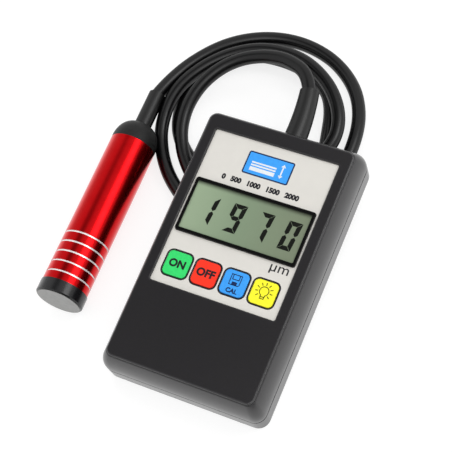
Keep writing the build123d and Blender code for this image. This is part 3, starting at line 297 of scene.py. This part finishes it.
def mottle(tree, shader, dark, light, size):
    """The base colour wanders between two colours with a noise of that size."""
    ramp = tree.nodes.new("ShaderNodeValToRGB")
    ramp.color_ramp.elements[0].position = 0.35
    ramp.color_ramp.elements[1].position = 0.65
    ramp.color_ramp.elements[0].color = (*dark, 1)
    ramp.color_ramp.elements[1].color = (*light, 1)
    tree.links.new(noise_of(tree, size), ramp.inputs[0])
    tree.links.new(ramp.outputs[0], shader.inputs["Base Color"])
    return ramp.outputs[0]


def grain(tree, shader, size, height):
    """Bumps of that size and height on the surface, in metres."""
    bump = tree.nodes.new("ShaderNodeBump")
    bump.inputs["Distance"].default_value = height
    bump.inputs["Strength"].default_value = 1.0
    tree.links.new(noise_of(tree, size, 3.0), bump.inputs["Height"])
    tree.links.new(bump.outputs[0], shader.inputs["Normal"])


def plastic(name, colour, roughness, specular=0.5, spread=0.12, size=0.4 * MM, height=0.01 * MM):
    """A moulded plastic with its grain, a little lighter and darker than its colour."""
    made, tree, shader = shader_of(name)
    shader.inputs["Roughness"].default_value = roughness
    shader.inputs["Specular IOR Level"].default_value = specular
    dark = [part * (1 - spread) for part in colour]
    light = [part * (1 + spread) for part in colour]
    mottle(tree, shader, dark, light, size * 3)
    grain(tree, shader, size, height)
    return made


print("helpers ready")

# %% [markdown]
# The case is black ABS, spark-eroded in the mould to a fine matt grain, so it shows no fingerprints. It looks
# nearly black from above and much paler on its side walls, because matt plastic mirrors its white
# surroundings at a shallow angle. The shader does that by itself, from roughness and specular, so no wall is
# painted paler. A thin dark line at the height where the two shells meet is their joint.

# %% Case plastic
def softened(material, radius):
    """The material's edges catch the light as if they were rounded by that radius."""
    tree = material.node_tree
    edge = tree.nodes.new("ShaderNodeBevel")
    edge.samples = 6
    edge.inputs["Radius"].default_value = radius
    bump = next(node for node in tree.nodes if node.type == "BUMP")
    tree.links.new(edge.outputs[0], bump.inputs["Normal"])
    return material


def worked_out(tree, operation, first, second):
    """A math node on an output and a number or another output."""
    node = tree.nodes.new("ShaderNodeMath")
    node.operation = operation
    tree.links.new(first, node.inputs[0])
    if isinstance(second, (int, float)):
        node.inputs[1].default_value = second
    else:
        tree.links.new(second, node.inputs[1])
    return node.outputs[0]


def local_place(tree, origin, rotation):
    """The x, y and z of a point, measured from an origin along axes that are turned by that rotation."""
    place = tree.nodes.new("ShaderNodeTexCoord")
    local = tree.nodes.new("ShaderNodeMapping")
    local.vector_type = "TEXTURE"
    local.inputs["Location"].default_value = origin
    local.inputs["Rotation"].default_value = rotation
    parts = tree.nodes.new("ShaderNodeSeparateXYZ")
    tree.links.new(place.outputs["Object"], local.inputs["Vector"])
    tree.links.new(local.outputs[0], parts.inputs[0])
    return parts.outputs


def with_seam(material, height, width, level):
    """A dark line round the material at a height above the rear face, where the two shells meet."""
    tree = material.node_tree
    above = local_place(tree, CASE_ORIGIN, (CASE_TILT, 0, 0))["Z"]
    away = worked_out(tree, "ABSOLUTE", worked_out(tree, "SUBTRACT", above, height), 0)
    outside = worked_out(tree, "GREATER_THAN", away, width / 2)
    shine = worked_out(tree, "MULTIPLY", outside, level)
    tree.links.new(shine, tree.nodes["Principled BSDF"].inputs["Specular IOR Level"])
    return material


CASE_ORIGIN = (21.35 * MM, 0.6 * MM, 6.029 * MM)
CASE_TILT = radians(6)
CASE_SHINE = 0.72
CASE_EDGE = 0.9 * MM
PARTING_HEIGHT = 9.4 * MM
SEAM_WIDTH = 0.6 * MM
case_plastic = plastic("case plastic", (0.0032, 0.0022, 0.0037), 0.3, CASE_SHINE, 0.25, 0.35 * MM, 0.013 * MM)
softened(case_plastic, CASE_EDGE)
with_seam(case_plastic, PARTING_HEIGHT, SEAM_WIDTH, CASE_SHINE)
frame_plastic = plastic("frame plastic", (0.003, 0.003, 0.003), 0.3, 0.12, 0.1, 0.6 * MM, 0.002 * MM)
switch_plastic = plastic("switch plastic", (0.02, 0.02, 0.02), 0.4)
print("case finishes made")

# %% [markdown]
# The four keys are solid coloured plastic caps, a little glossier than the case. Their colours are strong
# signal colours that are told apart at a glance.

# %% Key plastics
green_plastic = plastic("green key", (0.035, 0.72, 0.16), 0.42, 0.3, 0.04, 0.5 * MM, 0.003 * MM)
red_plastic = plastic("red key", (1.0, 0.035, 0.012), 0.42, 0.3, 0.04, 0.5 * MM, 0.003 * MM)
blue_plastic = plastic("blue key", (0.045, 0.36, 0.95), 0.42, 0.3, 0.04, 0.5 * MM, 0.003 * MM)
yellow_plastic = plastic("yellow key", (1.0, 0.96, 0.03), 0.42, 0.3, 0.04, 0.5 * MM, 0.003 * MM)
print("key finishes made")

# %% [markdown]
# The label is a printed polyester film with a satin face, a warm pale grey. The ink on it is nearly flat, so
# letters are thin pieces of their own, and the film itself only has a faint unevenness.

# %% Label film and inks
film = plastic("label film", (0.72, 0.70, 0.655), 0.45, 0.3, 0.012, 2.0 * MM, 0.001 * MM)
black_ink = plastic("black ink", (0.008, 0.008, 0.012), 0.4, 0.3, 0.1)
sky_ink = plastic("sky ink", (0.045, 0.36, 0.95), 0.4, 0.3, 0.03)
white_ink = plastic("white ink", (0.80, 0.84, 0.88), 0.4, 0.3, 0.03)
navy_ink = plastic("navy ink", (0.004, 0.02, 0.09), 0.4, 0.3, 0.1)
print("inks made")

# %% [markdown]
# The display is grey-green. Light falling across it is painted into that colour, so that it is palest at its
# left end and darker toward the right, and a soft painted shade runs along its top, where the surround stands
# over it. The window behind its film is clear acrylic: it could be true refracting glass, but a thin flat
# plate only dims and mirrors a little, so a mostly transparent shader shows the same with far less noise.

# %% Display finishes
DISPLAY_SPAN = 52 * MM
# Where the painted shade along the display's top starts and is full, in the case's own y, and how far its
# dark colour is mixed in.
PAINTED_SHADE_START = 23.0 * MM
PAINTED_SHADE_END = 25.2 * MM
PAINTED_SHADE_DEPTH = 0.75


def display_finish():
    """Grey-green film with painted light, palest at its left end, and a painted shade along its top, under
    the surround.
    """
    made, tree, shader = shader_of("display face")
    shader.inputs["Roughness"].default_value = 0.5
    shader.inputs["Specular IOR Level"].default_value = 0.3
    place = local_place(tree, CASE_ORIGIN, (CASE_TILT, 0, 0))
    share = worked_out(tree, "MULTIPLY_ADD", place["X"], 1 / DISPLAY_SPAN)
    share.node.inputs[2].default_value = 0.5
    clouds = worked_out(tree, "MULTIPLY", noise_of(tree, 9 * MM), 0.06)
    # Painted light: the colour is paler at the left end and darker toward the right, as light falls across
    # the display.
    ramp = tree.nodes.new("ShaderNodeValToRGB")
    ramp.color_ramp.elements[0].color = (0.326, 0.42, 0.278, 1)
    ramp.color_ramp.elements[1].color = (0.185, 0.223, 0.146, 1)
    middle = ramp.color_ramp.elements.new(0.5)
    middle.color = (0.213, 0.285, 0.184, 1)
    tree.links.new(worked_out(tree, "ADD", share, clouds), ramp.inputs[0])
    # Painted shade: the colour darkens toward the top edge, where the surround shades the display.
    shade = tree.nodes.new("ShaderNodeMapRange")
    shade.interpolation_type = "SMOOTHSTEP"
    shade.inputs["From Min"].default_value = PAINTED_SHADE_START
    shade.inputs["From Max"].default_value = PAINTED_SHADE_END
    shade.inputs["To Max"].default_value = PAINTED_SHADE_DEPTH
    tree.links.new(place["Y"], shade.inputs["Value"])
    mix = tree.nodes.new("ShaderNodeMix")
    mix.data_type = "RGBA"
    mix.inputs["B"].default_value = (0.02, 0.025, 0.015, 1)
    tree.links.new(shade.outputs[0], mix.inputs["Factor"])
    tree.links.new(ramp.outputs[0], mix.inputs["A"])
    tree.links.new(mix.outputs["Result"], shader.inputs["Base Color"])
    grain(tree, shader, 2 * MM, 0.001 * MM)
    return made


def window_finish():
    """Clear acrylic that hardly dims what is behind it."""
    made, tree, shader = shader_of("window acrylic")
    shader.inputs["Base Color"].default_value = (0.02, 0.03, 0.02, 1)
    shader.inputs["Roughness"].default_value = 0.06
    shader.inputs["Alpha"].default_value = 0.05
    grain(tree, shader, 3 * MM, 0.001 * MM)
    return made


display_glass = display_finish()
window_acrylic = window_finish()
light_panel = plastic("light panel", (0.75, 0.8, 0.72), 0.5)
print("display finishes made")

# %% [markdown]
# The probe's barrel is turned from aluminium bar and dyed red by anodising. The five rings are cut through
# the dyed layer afterwards, so they are bare metal, frosted by the cut, which scatters light like pale paint.
# One material can do both: it asks how far along the probe a point lies, and wraps that length by the pitch
# of the rings.

# %% Red anodised barrel with its bright rings
PROBE_PLACE = (-43.95 * MM, -39.2 * MM, 10.4 * MM)
PROBE_TURN = radians(2.1)
RING_COUNT = 5
RING_FIRST = 9.35 * MM
RING_PITCH = 4.67 * MM
RING_WIDTH = 0.7 * MM


def ring_mask(tree):
    """1 on the cut rings, 0 elsewhere."""
    along = local_place(tree, PROBE_PLACE, (0, 0, PROBE_TURN))["Y"]
    turn = worked_out(tree, "MULTIPLY", along, 1 / RING_PITCH)
    turn = worked_out(tree, "ADD", turn, 0.5 - RING_FIRST / RING_PITCH)
    part = worked_out(tree, "FRACT", turn, 0)
    near = worked_out(tree, "ABSOLUTE", worked_out(tree, "SUBTRACT", part, 0.5), 0)
    ring = worked_out(tree, "LESS_THAN", near, RING_WIDTH / RING_PITCH / 2)
    after_first = worked_out(tree, "GREATER_THAN", turn, 0)
    before_last = worked_out(tree, "LESS_THAN", turn, RING_COUNT)
    return worked_out(tree, "MULTIPLY", ring, worked_out(tree, "MULTIPLY", after_first, before_last))


def barrel_finish():
    """Red dyed aluminium with rings of bare metal."""
    made, tree, shader = shader_of("red anodised aluminium")
    shader.inputs["Roughness"].default_value = 0.24
    red = mottle(tree, shader, (0.49, 0.005, 0.007), (0.51, 0.006, 0.008), 3 * MM)
    mix = tree.nodes.new("ShaderNodeMix")
    mix.data_type = "RGBA"
    mix.inputs["B"].default_value = (0.93, 0.92, 0.92, 1)
    tree.links.new(red, mix.inputs["A"])
    rings = ring_mask(tree)
    tree.links.new(rings, mix.inputs["Factor"])
    dyed = worked_out(tree, "MULTIPLY_ADD", rings, -0.75)
    dyed.node.inputs[2].default_value = 1.0
    tree.links.new(dyed, shader.inputs["Metallic"])
    tree.links.new(mix.outputs["Result"], shader.inputs["Base Color"])
    grain(tree, shader, 0.5 * MM, 0.0006 * MM)
    return made


red_aluminium = barrel_finish()
print("barrel finish made")

# %% [markdown]
# The barrel itself is made as a lathe makes it: the outline of its wall, grooves included, is turned about
# the probe's axis. A Screw modifier could do that too, but turned in code the mesh is there at once. The
# grooves lie under the bright rings of the finish, because both use the same lengths. Every corner of the
# outline stays a sharp edge, and the surface is smooth all the way round.

# %% Turned barrel
BARREL_START = 5.6 * MM
BARREL_END = 77.4 * MM
BARREL_RADIUS = 10.1 * MM
BARREL_BORE = 8.3 * MM
RING_DEPTH = 0.2 * MM
BARREL_STEPS = 128


def turned_piece(name, outline, steps, place):
    """A closed outline of (radius, length) corners turned about the Y axis and put in its place."""
    work = bmesh.new()
    circles = []
    for step in range(steps):
        angle = 2 * pi * step / steps
        circles.append([work.verts.new((radius * cos(angle), length, radius * sin(angle)))
                        for radius, length in outline])
    for step in range(steps):
        here = circles[step]
        there = circles[(step + 1) % steps]
        for corner in range(len(outline)):
            after = (corner + 1) % len(outline)
            work.faces.new((here[corner], here[after], there[after], there[corner])).smooth = True
            work.edges.get((here[corner], there[corner])).smooth = False
    bmesh.ops.recalc_face_normals(work, faces=work.faces)
    mesh = bpy.data.meshes.new(name)
    work.to_mesh(mesh)
    work.free()
    mesh.transform(place)
    piece = bpy.data.objects.new(name, mesh)
    bpy.context.scene.collection.objects.link(piece)
    return piece


barrel_outline = [(BARREL_BORE, BARREL_END), (BARREL_BORE, BARREL_START), (BARREL_RADIUS, BARREL_START)]
for ring in range(RING_COUNT):
    low = RING_FIRST + ring * RING_PITCH - RING_WIDTH / 2
    barrel_outline += [(BARREL_RADIUS, low), (BARREL_RADIUS - RING_DEPTH, low),
                       (BARREL_RADIUS - RING_DEPTH, low + RING_WIDTH), (BARREL_RADIUS, low + RING_WIDTH)]
barrel_outline.append((BARREL_RADIUS, BARREL_END))
barrel = turned_piece("barrel", barrel_outline, BARREL_STEPS,
                      Matrix.Translation(PROBE_PLACE) @ Matrix.Rotation(PROBE_TURN, 4, "Z"))
barrel.data.materials.append(red_aluminium)
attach(barrel, "gauge")
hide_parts("probe_barrel")
print("barrel corners", len(barrel.data.vertices))

# %% [markdown]
# The rest of the probe: a matt black cap at the tail, a dark grey collar of hard plastic at the front, and a
# ground steel disc that is set on the surface to be measured.

# %% Probe and cable finishes
def metal(name, colour, roughness, size=0.4 * MM, height=0.002 * MM, spread=0.06):
    """A metal with a fine grain and a slightly uneven colour."""
    made, tree, shader = shader_of(name)
    shader.inputs["Metallic"].default_value = 1.0
    shader.inputs["Roughness"].default_value = roughness
    dark = [part * (1 - spread) for part in colour]
    light = [part * (1 + spread) for part in colour]
    mottle(tree, shader, dark, light, size * 4)
    grain(tree, shader, size, height)
    return made


def dull_edges(material, middle, edge):
    """The material mirrors that much where it faces the eye, and that much where it turns away."""
    tree = material.node_tree
    view = tree.nodes.new("ShaderNodeLayerWeight")
    view.inputs["Blend"].default_value = 0.5
    level = tree.nodes.new("ShaderNodeMapRange")
    level.inputs["From Min"].default_value = 0.25
    level.inputs["From Max"].default_value = 0.75
    level.inputs["To Min"].default_value = middle
    level.inputs["To Max"].default_value = edge
    tree.links.new(view.outputs["Facing"], level.inputs["Value"])
    tree.links.new(level.outputs[0], tree.nodes["Principled BSDF"].inputs["Specular IOR Level"])
    return material


cap_plastic = plastic("cap plastic", (0.007, 0.007, 0.007), 0.55, 0.3, 0.2, 0.35 * MM, 0.008 * MM)
collar_plastic = plastic("collar plastic", (0.006, 0.006, 0.007), 0.25, 0.4, 0.15)
face_steel = metal("ground steel", (0.24, 0.24, 0.235), 0.5)
cable_rubber = plastic("cable rubber", (0.0009, 0.0009, 0.0012), 0.29, 0.45, 0.2, 0.5 * MM, 0.003 * MM)
sleeve_rubber = plastic("sleeve rubber", (0.002, 0.002, 0.002), 0.38, 0.5, 0.2, 0.4 * MM, 0.004 * MM)
dull_edges(cable_rubber, 0.36, 0.02)
dull_edges(sleeve_rubber, 0.44, 0.03)
print("probe finishes made")

# %% [markdown]
# Inside the case are parts that only show with the shells apart: a green circuit board, black chips, tinned
# legs, a steel-cased battery, copper leads and the probe's coil. They get plain true finishes as well,
# because a shared part may be opened.

# %% Inner finishes
board_laminate = plastic("board laminate", (0.02, 0.16, 0.06), 0.35, 0.5, 0.15)
chip_plastic = plastic("chip epoxy", (0.015, 0.015, 0.016), 0.55)
capacitor_sleeve = plastic("capacitor sleeve", (0.02, 0.03, 0.12), 0.35)
bobbin_plastic = plastic("bobbin plastic", (0.7, 0.68, 0.62), 0.5)
tinned_metal = metal("tinned metal", (0.72, 0.72, 0.7), 0.35)
zinc_steel = metal("zinc steel", (0.6, 0.6, 0.58), 0.35)
battery_steel = metal("battery can", (0.42, 0.43, 0.45), 0.4)
lead_copper = metal("lead copper", (0.85, 0.45, 0.28), 0.35)
coil_copper = metal("coil copper", (0.7, 0.26, 0.12), 0.3)
core_iron = metal("core iron", (0.3, 0.3, 0.3), 0.45)
print("inner finishes made")

# %% [markdown]
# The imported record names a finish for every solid, so one table from those names to the materials dresses
# them all. A solid's mesh is never touched: only its material slots are filled.

# %% Dress the solids
finishes = {
    "case_plastic": case_plastic, "frame_plastic": frame_plastic, "printed_film": film,
    "window_plastic": window_acrylic, "display_glass": display_glass, "light_panel": light_panel,
    "tinned_metal": tinned_metal, "zinc_steel": zinc_steel, "green_plastic": green_plastic,
    "red_plastic": red_plastic, "blue_plastic": blue_plastic, "yellow_plastic": yellow_plastic,
    "switch_plastic": switch_plastic, "board_laminate": board_laminate, "chip_plastic": chip_plastic,
    "capacitor_sleeve": capacitor_sleeve, "battery_steel": battery_steel, "lead_copper": lead_copper,
    "sleeve_rubber": sleeve_rubber, "cable_rubber": cable_rubber, "red_aluminium": red_aluminium,
    "cap_plastic": cap_plastic, "collar_plastic": collar_plastic, "face_steel": face_steel,
    "core_iron": core_iron, "bobbin_plastic": bobbin_plastic, "coil_copper": coil_copper,
}
for part in frame["record"]["subparts"]:
    solid = nodes[part["node"]]
    solid.data.materials.clear()
    solid.data.materials.append(finishes[part["material_slot"]])
cable.data.materials.append(cable_rubber)

# %% [markdown]
# Print lies on the film, the keys and the display, so every printed shape is drawn flat in the case's own
# millimetres, x across and y along the face, and then set down at a height above the rear face. The case
# leans back on the cable by 6 degrees, which one matrix says for all of them.

# %% Where the case lies
CASE_PLACE = Matrix.Translation(CASE_ORIGIN) @ Matrix.Rotation(CASE_TILT, 4, "X")
FILM_TOP = 21.2
KEY_TOP = 21.45
INK = 0.02


def laid_down(name, curve, place, height, thickness, finish, body, width=1.0):
    """The curve's filled shape as a mesh, set down on the case at a place and height, on its body."""
    drawn = bpy.data.objects.new(name + "_drawn", curve)
    bpy.context.scene.collection.objects.link(drawn)
    bpy.context.view_layer.update()
    seen = drawn.evaluated_get(bpy.context.evaluated_depsgraph_get())
    mesh = bpy.data.meshes.new_from_object(seen)
    bpy.data.objects.remove(drawn)
    mesh.name = name
    mesh.transform(Matrix.Diagonal((width, 1, 1, 1)))
    spot = (place[0] * MM, place[1] * MM, (height + thickness / 2) * MM)
    mesh.transform(CASE_PLACE @ Matrix.Translation(spot))
    mesh.materials.clear()
    mesh.materials.append(finish)
    piece = bpy.data.objects.new(name, mesh)
    bpy.context.scene.collection.objects.link(piece)
    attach(piece, body)
    return piece


def flat_piece(name, outlines, height, finish, body="gauge", thickness=INK):
    """A thin filled shape on the case: closed outlines in mm, where one inside another is a hole."""
    curve = bpy.data.curves.new(name, "CURVE")
    curve.dimensions = "2D"
    curve.fill_mode = "BOTH"
    curve.extrude = thickness / 2 * MM
    for outline in outlines:
        spline = curve.splines.new("POLY")
        spline.points.add(len(outline) - 1)
        for point, (x, y) in zip(spline.points, outline):
            point.co = (x * MM, y * MM, 0, 1)
        spline.use_cyclic_u = True
    return laid_down(name, curve, (0, 0), height, thickness, finish, body)


print("case place", [round(part / MM, 2) for part in CASE_PLACE.translation])

# %% [markdown]
# Letters and numbers come from Blender's own font as text curves. A heavier letter is the same outline with
# its offset raised, which is how a bold weight is faked when only one font is at hand.

# %% Words on the case
def words(name, text, place, size, height, finish, weight, body="gauge", width=1.0):
    """Flat letters centred on a place, size in mm for a line of text."""
    text_curve = bpy.data.curves.new(name, "FONT")
    text_curve.body = text
    text_curve.size = size * MM
    text_curve.offset = weight * MM
    text_curve.align_x = "CENTER"
    text_curve.align_y = "CENTER"
    text_curve.extrude = INK / 2 * MM
    text_curve.resolution_u = 4
    return laid_down(name, text_curve, place, height, INK, finish, body, width)


print("words ready")

# %% [markdown]
# Rounded rectangles are everywhere on a label, so one function gives their outline, with an arc at each
# corner.

# %% Rounded outline
def rounded(centre, width, length, corner, steps=6):
    """Outline of a rectangle with round corners."""
    outline = []
    for quarter, (side_x, side_y) in enumerate([(1, 1), (-1, 1), (-1, -1), (1, -1)]):
        corner_x = centre[0] + side_x * (width / 2 - corner)
        corner_y = centre[1] + side_y * (length / 2 - corner)
        for step in range(steps + 1):
            angle = (quarter + step / steps) * pi / 2
            outline.append((corner_x + corner * cos(angle), corner_y + corner * sin(angle)))
    return outline


print("outline points", len(rounded((0, 0), 1, 1, 0.2)))

# %% [markdown]
# At the head of the label is a sky-blue plate with a dark rim. It carries a plain sign for what the
# instrument measures: two coats of paint on sheet metal, with an arrow across them.

# %% Blue plate
PLATE_CENTRE = (0.0, 39.15)
PLATE_WIDTH = 20.3
PLATE_LENGTH = 10.3
PLATE_CORNER = 0.9
PLATE_RIM = 0.6
PLATE_BARS = {
    "sheet": (-7.5, -3.2, 3.4, -1.5), "first_coat": (-7.5, -1.0, 3.4, -0.3),
    "second_coat": (-7.5, 0.2, 3.4, 0.9), "arrow_stem": (5.7, -2.2, 6.3, 2.2),
}
PLATE_ARROWS = {"arrow_up": (3.2, 1.9), "arrow_down": (-3.2, -1.9)}
plate_outside = rounded(PLATE_CENTRE, PLATE_WIDTH, PLATE_LENGTH, PLATE_CORNER)
field_width = PLATE_WIDTH - 2 * PLATE_RIM
field_length = PLATE_LENGTH - 2 * PLATE_RIM
plate_inside = rounded(PLATE_CENTRE, field_width, field_length, PLATE_CORNER - PLATE_RIM)
flat_piece("plate_rim", [plate_outside, plate_inside], FILM_TOP, navy_ink)
flat_piece("plate_field", [plate_inside], FILM_TOP, sky_ink)


def plate_sign(name, corners):
    """A white shape on the plate, with its corners measured from the plate's centre."""
    outline = [(PLATE_CENTRE[0] + x, PLATE_CENTRE[1] + y) for x, y in corners]
    flat_piece(f"sign_{name}", [outline], FILM_TOP + INK, white_ink)


for name, (left, low, right, high) in PLATE_BARS.items():
    plate_sign(name, [(left, low), (right, low), (right, high), (left, high)])
for name, (tip, foot) in PLATE_ARROWS.items():
    plate_sign(name, [(6.0, tip), (5.0, foot), (7.0, foot)])
print("plate", PLATE_WIDTH, "by", PLATE_LENGTH, "mm")

# %% [markdown]
# Under the plate the label states the range of the instrument in small bold figures, in a line about two
# thirds as long as the display is wide. The unit stands in light letters below the right end of the display,
# a little wider than the font has them.

# %% Range figures and unit
words("range_figures", "0   500   1000   1500   2000", (0.0, 30.0), 3.0, FILM_TOP, black_ink, 0.2)
words("unit_sign", "μm", (20.9, 0.0), 6.1, FILM_TOP, black_ink, 0.02, width=1.1)
print("range and unit laid")

# %% [markdown]
# The display is finished from the front: its grey-green front film covers the window and reaches over the rim
# of the frame behind it, and a narrow black surround stands a little above the film and throws a thin shadow
# on it.

# %% Display film and surround
DISPLAY_CENTRE = (0.0, 14.3)
DISPLAY_FACE = 21.47
FACE_WIDTH = 51.4
FACE_LENGTH = 22.4
SURROUND_HEIGHT = 0.7
display_outline = rounded(DISPLAY_CENTRE, FACE_WIDTH, FACE_LENGTH, 0.6)
flat_piece("display_face", [display_outline], DISPLAY_FACE, display_glass)
surround_outside = rounded(DISPLAY_CENTRE, 52.8, 24.2, 1.0)
surround_inside = rounded(DISPLAY_CENTRE, 50.5, 21.6, 0.3)
flat_piece("display_surround", [surround_outside, surround_inside], DISPLAY_FACE + INK, frame_plastic,
           thickness=SURROUND_HEIGHT)
print("display face", FACE_WIDTH, "by", FACE_LENGTH, "mm")

# %% [markdown]
# The reading is made of seven-segment digits, as every such display has. Every segment is a bar whose ends
# are cut at 45 degrees where it meets its neighbours, and the whole digit leans a little to the right. Three
# bars are enough, because the others are the same ones turned over.

# %% Display digits
DIGIT_HEIGHT = 12.65
DIGIT_WIDTH = 5.75
DIGIT_PITCH = 12.06
DIGIT_BASE = 7.75
DIGIT_START = -19.9
DIGIT_SLANT = 0.085
SEGMENT = 1.9
SEGMENT_GAP = 0.09
HALF_SEGMENT = SEGMENT / 2
MIDDLE = DIGIT_HEIGHT / 2
READING = "1970"
SEGMENTS = {"1": "bc", "9": "abcdfg", "7": "abc", "0": "abcdef"}
LEVEL_BAR = [
    (SEGMENT_GAP, 0), (DIGIT_WIDTH - SEGMENT_GAP, 0),
    (DIGIT_WIDTH - SEGMENT - SEGMENT_GAP, SEGMENT), (SEGMENT + SEGMENT_GAP, SEGMENT),
]
UPRIGHT_BAR = [
    (0, SEGMENT_GAP), (SEGMENT, SEGMENT + SEGMENT_GAP), (SEGMENT, MIDDLE - HALF_SEGMENT - SEGMENT_GAP),
    (HALF_SEGMENT, MIDDLE - SEGMENT_GAP), (0, MIDDLE - HALF_SEGMENT - SEGMENT_GAP / 2),
]
BAR_START = HALF_SEGMENT + SEGMENT_GAP
BAR_END = DIGIT_WIDTH - BAR_START
MIDDLE_BAR = [
    (BAR_START, MIDDLE), (BAR_START + HALF_SEGMENT, MIDDLE + HALF_SEGMENT),
    (BAR_END - HALF_SEGMENT, MIDDLE + HALF_SEGMENT), (BAR_END, MIDDLE),
    (BAR_END - HALF_SEGMENT, MIDDLE - HALF_SEGMENT), (BAR_START + HALF_SEGMENT, MIDDLE - HALF_SEGMENT),
]


def turned(outline, over_x, over_y):
    """The outline mirrored left to right, upside down, or both, within the digit."""
    return [(DIGIT_WIDTH - x if over_x else x, DIGIT_HEIGHT - y if over_y else y) for x, y in outline]


BARS = {
    "a": turned(LEVEL_BAR, False, True), "b": turned(UPRIGHT_BAR, True, True),
    "c": turned(UPRIGHT_BAR, True, False), "d": LEVEL_BAR, "e": UPRIGHT_BAR,
    "f": turned(UPRIGHT_BAR, False, True), "g": MIDDLE_BAR,
}


def digit(number, left):
    """The outlines of a digit's segments, leaning to the right."""
    outlines = []
    for key in SEGMENTS[number]:
        outlines.append([(left + x + DIGIT_SLANT * y, DIGIT_BASE + y) for x, y in BARS[key]])
    return outlines


display_ink = plastic("display ink", (0.004, 0.005, 0.003), 0.45, 0.15, 0.1)
for place, number in enumerate(READING):
    outlines = digit(number, DIGIT_START + place * DIGIT_PITCH)
    flat_piece(f"digit_{place + 1}", outlines, DISPLAY_FACE + INK, display_ink)
print("digits", len(READING))

# %% [markdown]
# Round each key the film has a dark printed border, which hides the small gap that lets the key move.

# %% Key borders
KEY_WIDTH = 10.3
KEY_CORNER = 2.0
KEY_GAP = 0.25
KEY_BORDER = 0.6
KEY_PITCH = 12.65
KEY_FIRST = (-19.175, -11.5)
KEY_POINTS = [(KEY_FIRST[0] + key * KEY_PITCH, KEY_FIRST[1]) for key in range(4)]
for place, centre in enumerate(KEY_POINTS):
    hole = KEY_WIDTH + 2 * KEY_GAP
    inside = rounded(centre, hole, hole, KEY_CORNER + KEY_GAP)
    rim = hole + 2 * KEY_BORDER
    outside = rounded(centre, rim, rim, KEY_CORNER + KEY_GAP + KEY_BORDER)
    flat_piece(f"key_border_{place + 1}", [outside, inside], FILM_TOP, black_ink)
print("borders", len(KEY_POINTS))

# %% [markdown]
# The first two keys say ON and OFF in bold letters. The third stores a calibration and has the outline of a
# diskette, and the fourth lights the display and has a bulb with rays. The signs are printed on the caps, so
# they move with them.

# %% Key words
calibrate_place = (KEY_POINTS[2][0], -14.9)
words("on_word", "ON", KEY_POINTS[0], 4.5, KEY_TOP, black_ink, 0.2, "on_key")
words("off_word", "OFF", KEY_POINTS[1], 4.5, KEY_TOP, black_ink, 0.2, "off_key")
words("calibrate_word", "CAL", calibrate_place, 2.6, KEY_TOP, navy_ink, 0.12, "calibrate_key")
print("key words laid")

# %% [markdown]
# A line of even width, straight or bent, is an outline with two sides. The signs on the two last keys are
# drawn from such lines, so one function makes the two sides of a stroke.

# %% Strokes
STROKE = 0.36


def stroke(points, width=STROKE, closed=False):
    """Outlines of a line of even width through the points."""
    count = len(points)
    sides = ([], [])
    for index in range(count):
        before = points[index - 1] if closed or index > 0 else points[0]
        after = points[(index + 1) % count] if closed or index < count - 1 else points[-1]
        here = points[index]
        first = Vector((here[0] - before[0], here[1] - before[1]))
        second = Vector((after[0] - here[0], after[1] - here[1]))
        first = first.normalized() if first.length > 0 else second.normalized()
        second = second.normalized() if second.length > 0 else first
        middle = (first + second).normalized()
        normal = Vector((-middle.y, middle.x))
        reach = width / 2 / max(0.4, normal.dot(Vector((-first.y, first.x))))
        sides[0].append((here[0] + normal.x * reach, here[1] + normal.y * reach))
        sides[1].append((here[0] - normal.x * reach, here[1] - normal.y * reach))
    if closed:
        return [sides[0], sides[1]]
    return [sides[0] + sides[1][::-1]]


print("stroke corners", len(stroke([(0, 0), (1, 0), (1, 1)])[0]))

# %% [markdown]
# The diskette is a square with one cut corner, a label line above and a dark shutter below.

# %% Diskette sign
DISK = 2.2
DISK_CUT = 0.5
DISK_RAISED = 1.3


def key_corners(key, raised, corners):
    """Corners measured from a point a little above the middle of a key."""
    return [(KEY_POINTS[key][0] + x, KEY_POINTS[key][1] + raised + y) for x, y in corners]


disk_corners = [
    (-DISK, -DISK), (DISK - DISK_CUT, -DISK), (DISK, -DISK + DISK_CUT), (DISK, DISK), (-DISK, DISK),
]
disk_body = stroke(key_corners(2, DISK_RAISED, disk_corners), closed=True)
disk_label = stroke(key_corners(2, DISK_RAISED, [(-1.4, DISK), (-1.4, 0.2), (1.4, 0.2), (1.4, DISK)]))
disk_shutter = [key_corners(2, DISK_RAISED, [(-1.1, -DISK), (-1.1, -0.8), (1.1, -0.8), (1.1, -DISK)])]
for part, outlines in (("edge", disk_body), ("label", disk_label), ("shutter", disk_shutter)):
    flat_piece(f"diskette_{part}", outlines, KEY_TOP, navy_ink, "calibrate_key")
print("diskette drawn")

# %% [markdown]
# The bulb is a ring that opens into a short neck, with a line across it for the cap and rays all round. Every
# line of it is measured from one point on the key, so one function places them.

# %% Bulb sign
BULB = 1.9
BULB_RAISED = 0.7
NECK = 0.8
RAY_COUNT = 9
RAY_START = 2.5
RAY_END = 3.7
olive_ink = plastic("olive ink", (0.09, 0.08, 0.004), 0.4, 0.3, 0.1)


def bulb_piece(name, corners, closed=False):
    """A line of the bulb sign on the backlight key."""
    line = stroke(key_corners(3, BULB_RAISED, corners), closed=closed)
    flat_piece(f"bulb_{name}", line, KEY_TOP, olive_ink, "backlight_key")


arc_angles = [radians(-62 + 304 * step / 28) for step in range(29)]
glass_arc = [(BULB * cos(angle), BULB * sin(angle)) for angle in arc_angles]
bulb_piece("glass", [(NECK, -3.2)] + glass_arc + [(-NECK, -3.2)], closed=True)
bulb_piece("cap", [(-NECK, -2.4), (NECK, -2.4)])
for ray in range(RAY_COUNT):
    angle = radians(-40 + 260 * ray / (RAY_COUNT - 1))
    bulb_piece(f"ray_{ray + 1}", [(reach * cos(angle), reach * sin(angle)) for reach in (RAY_START, RAY_END)])
print("bulb drawn with", RAY_COUNT, "rays")
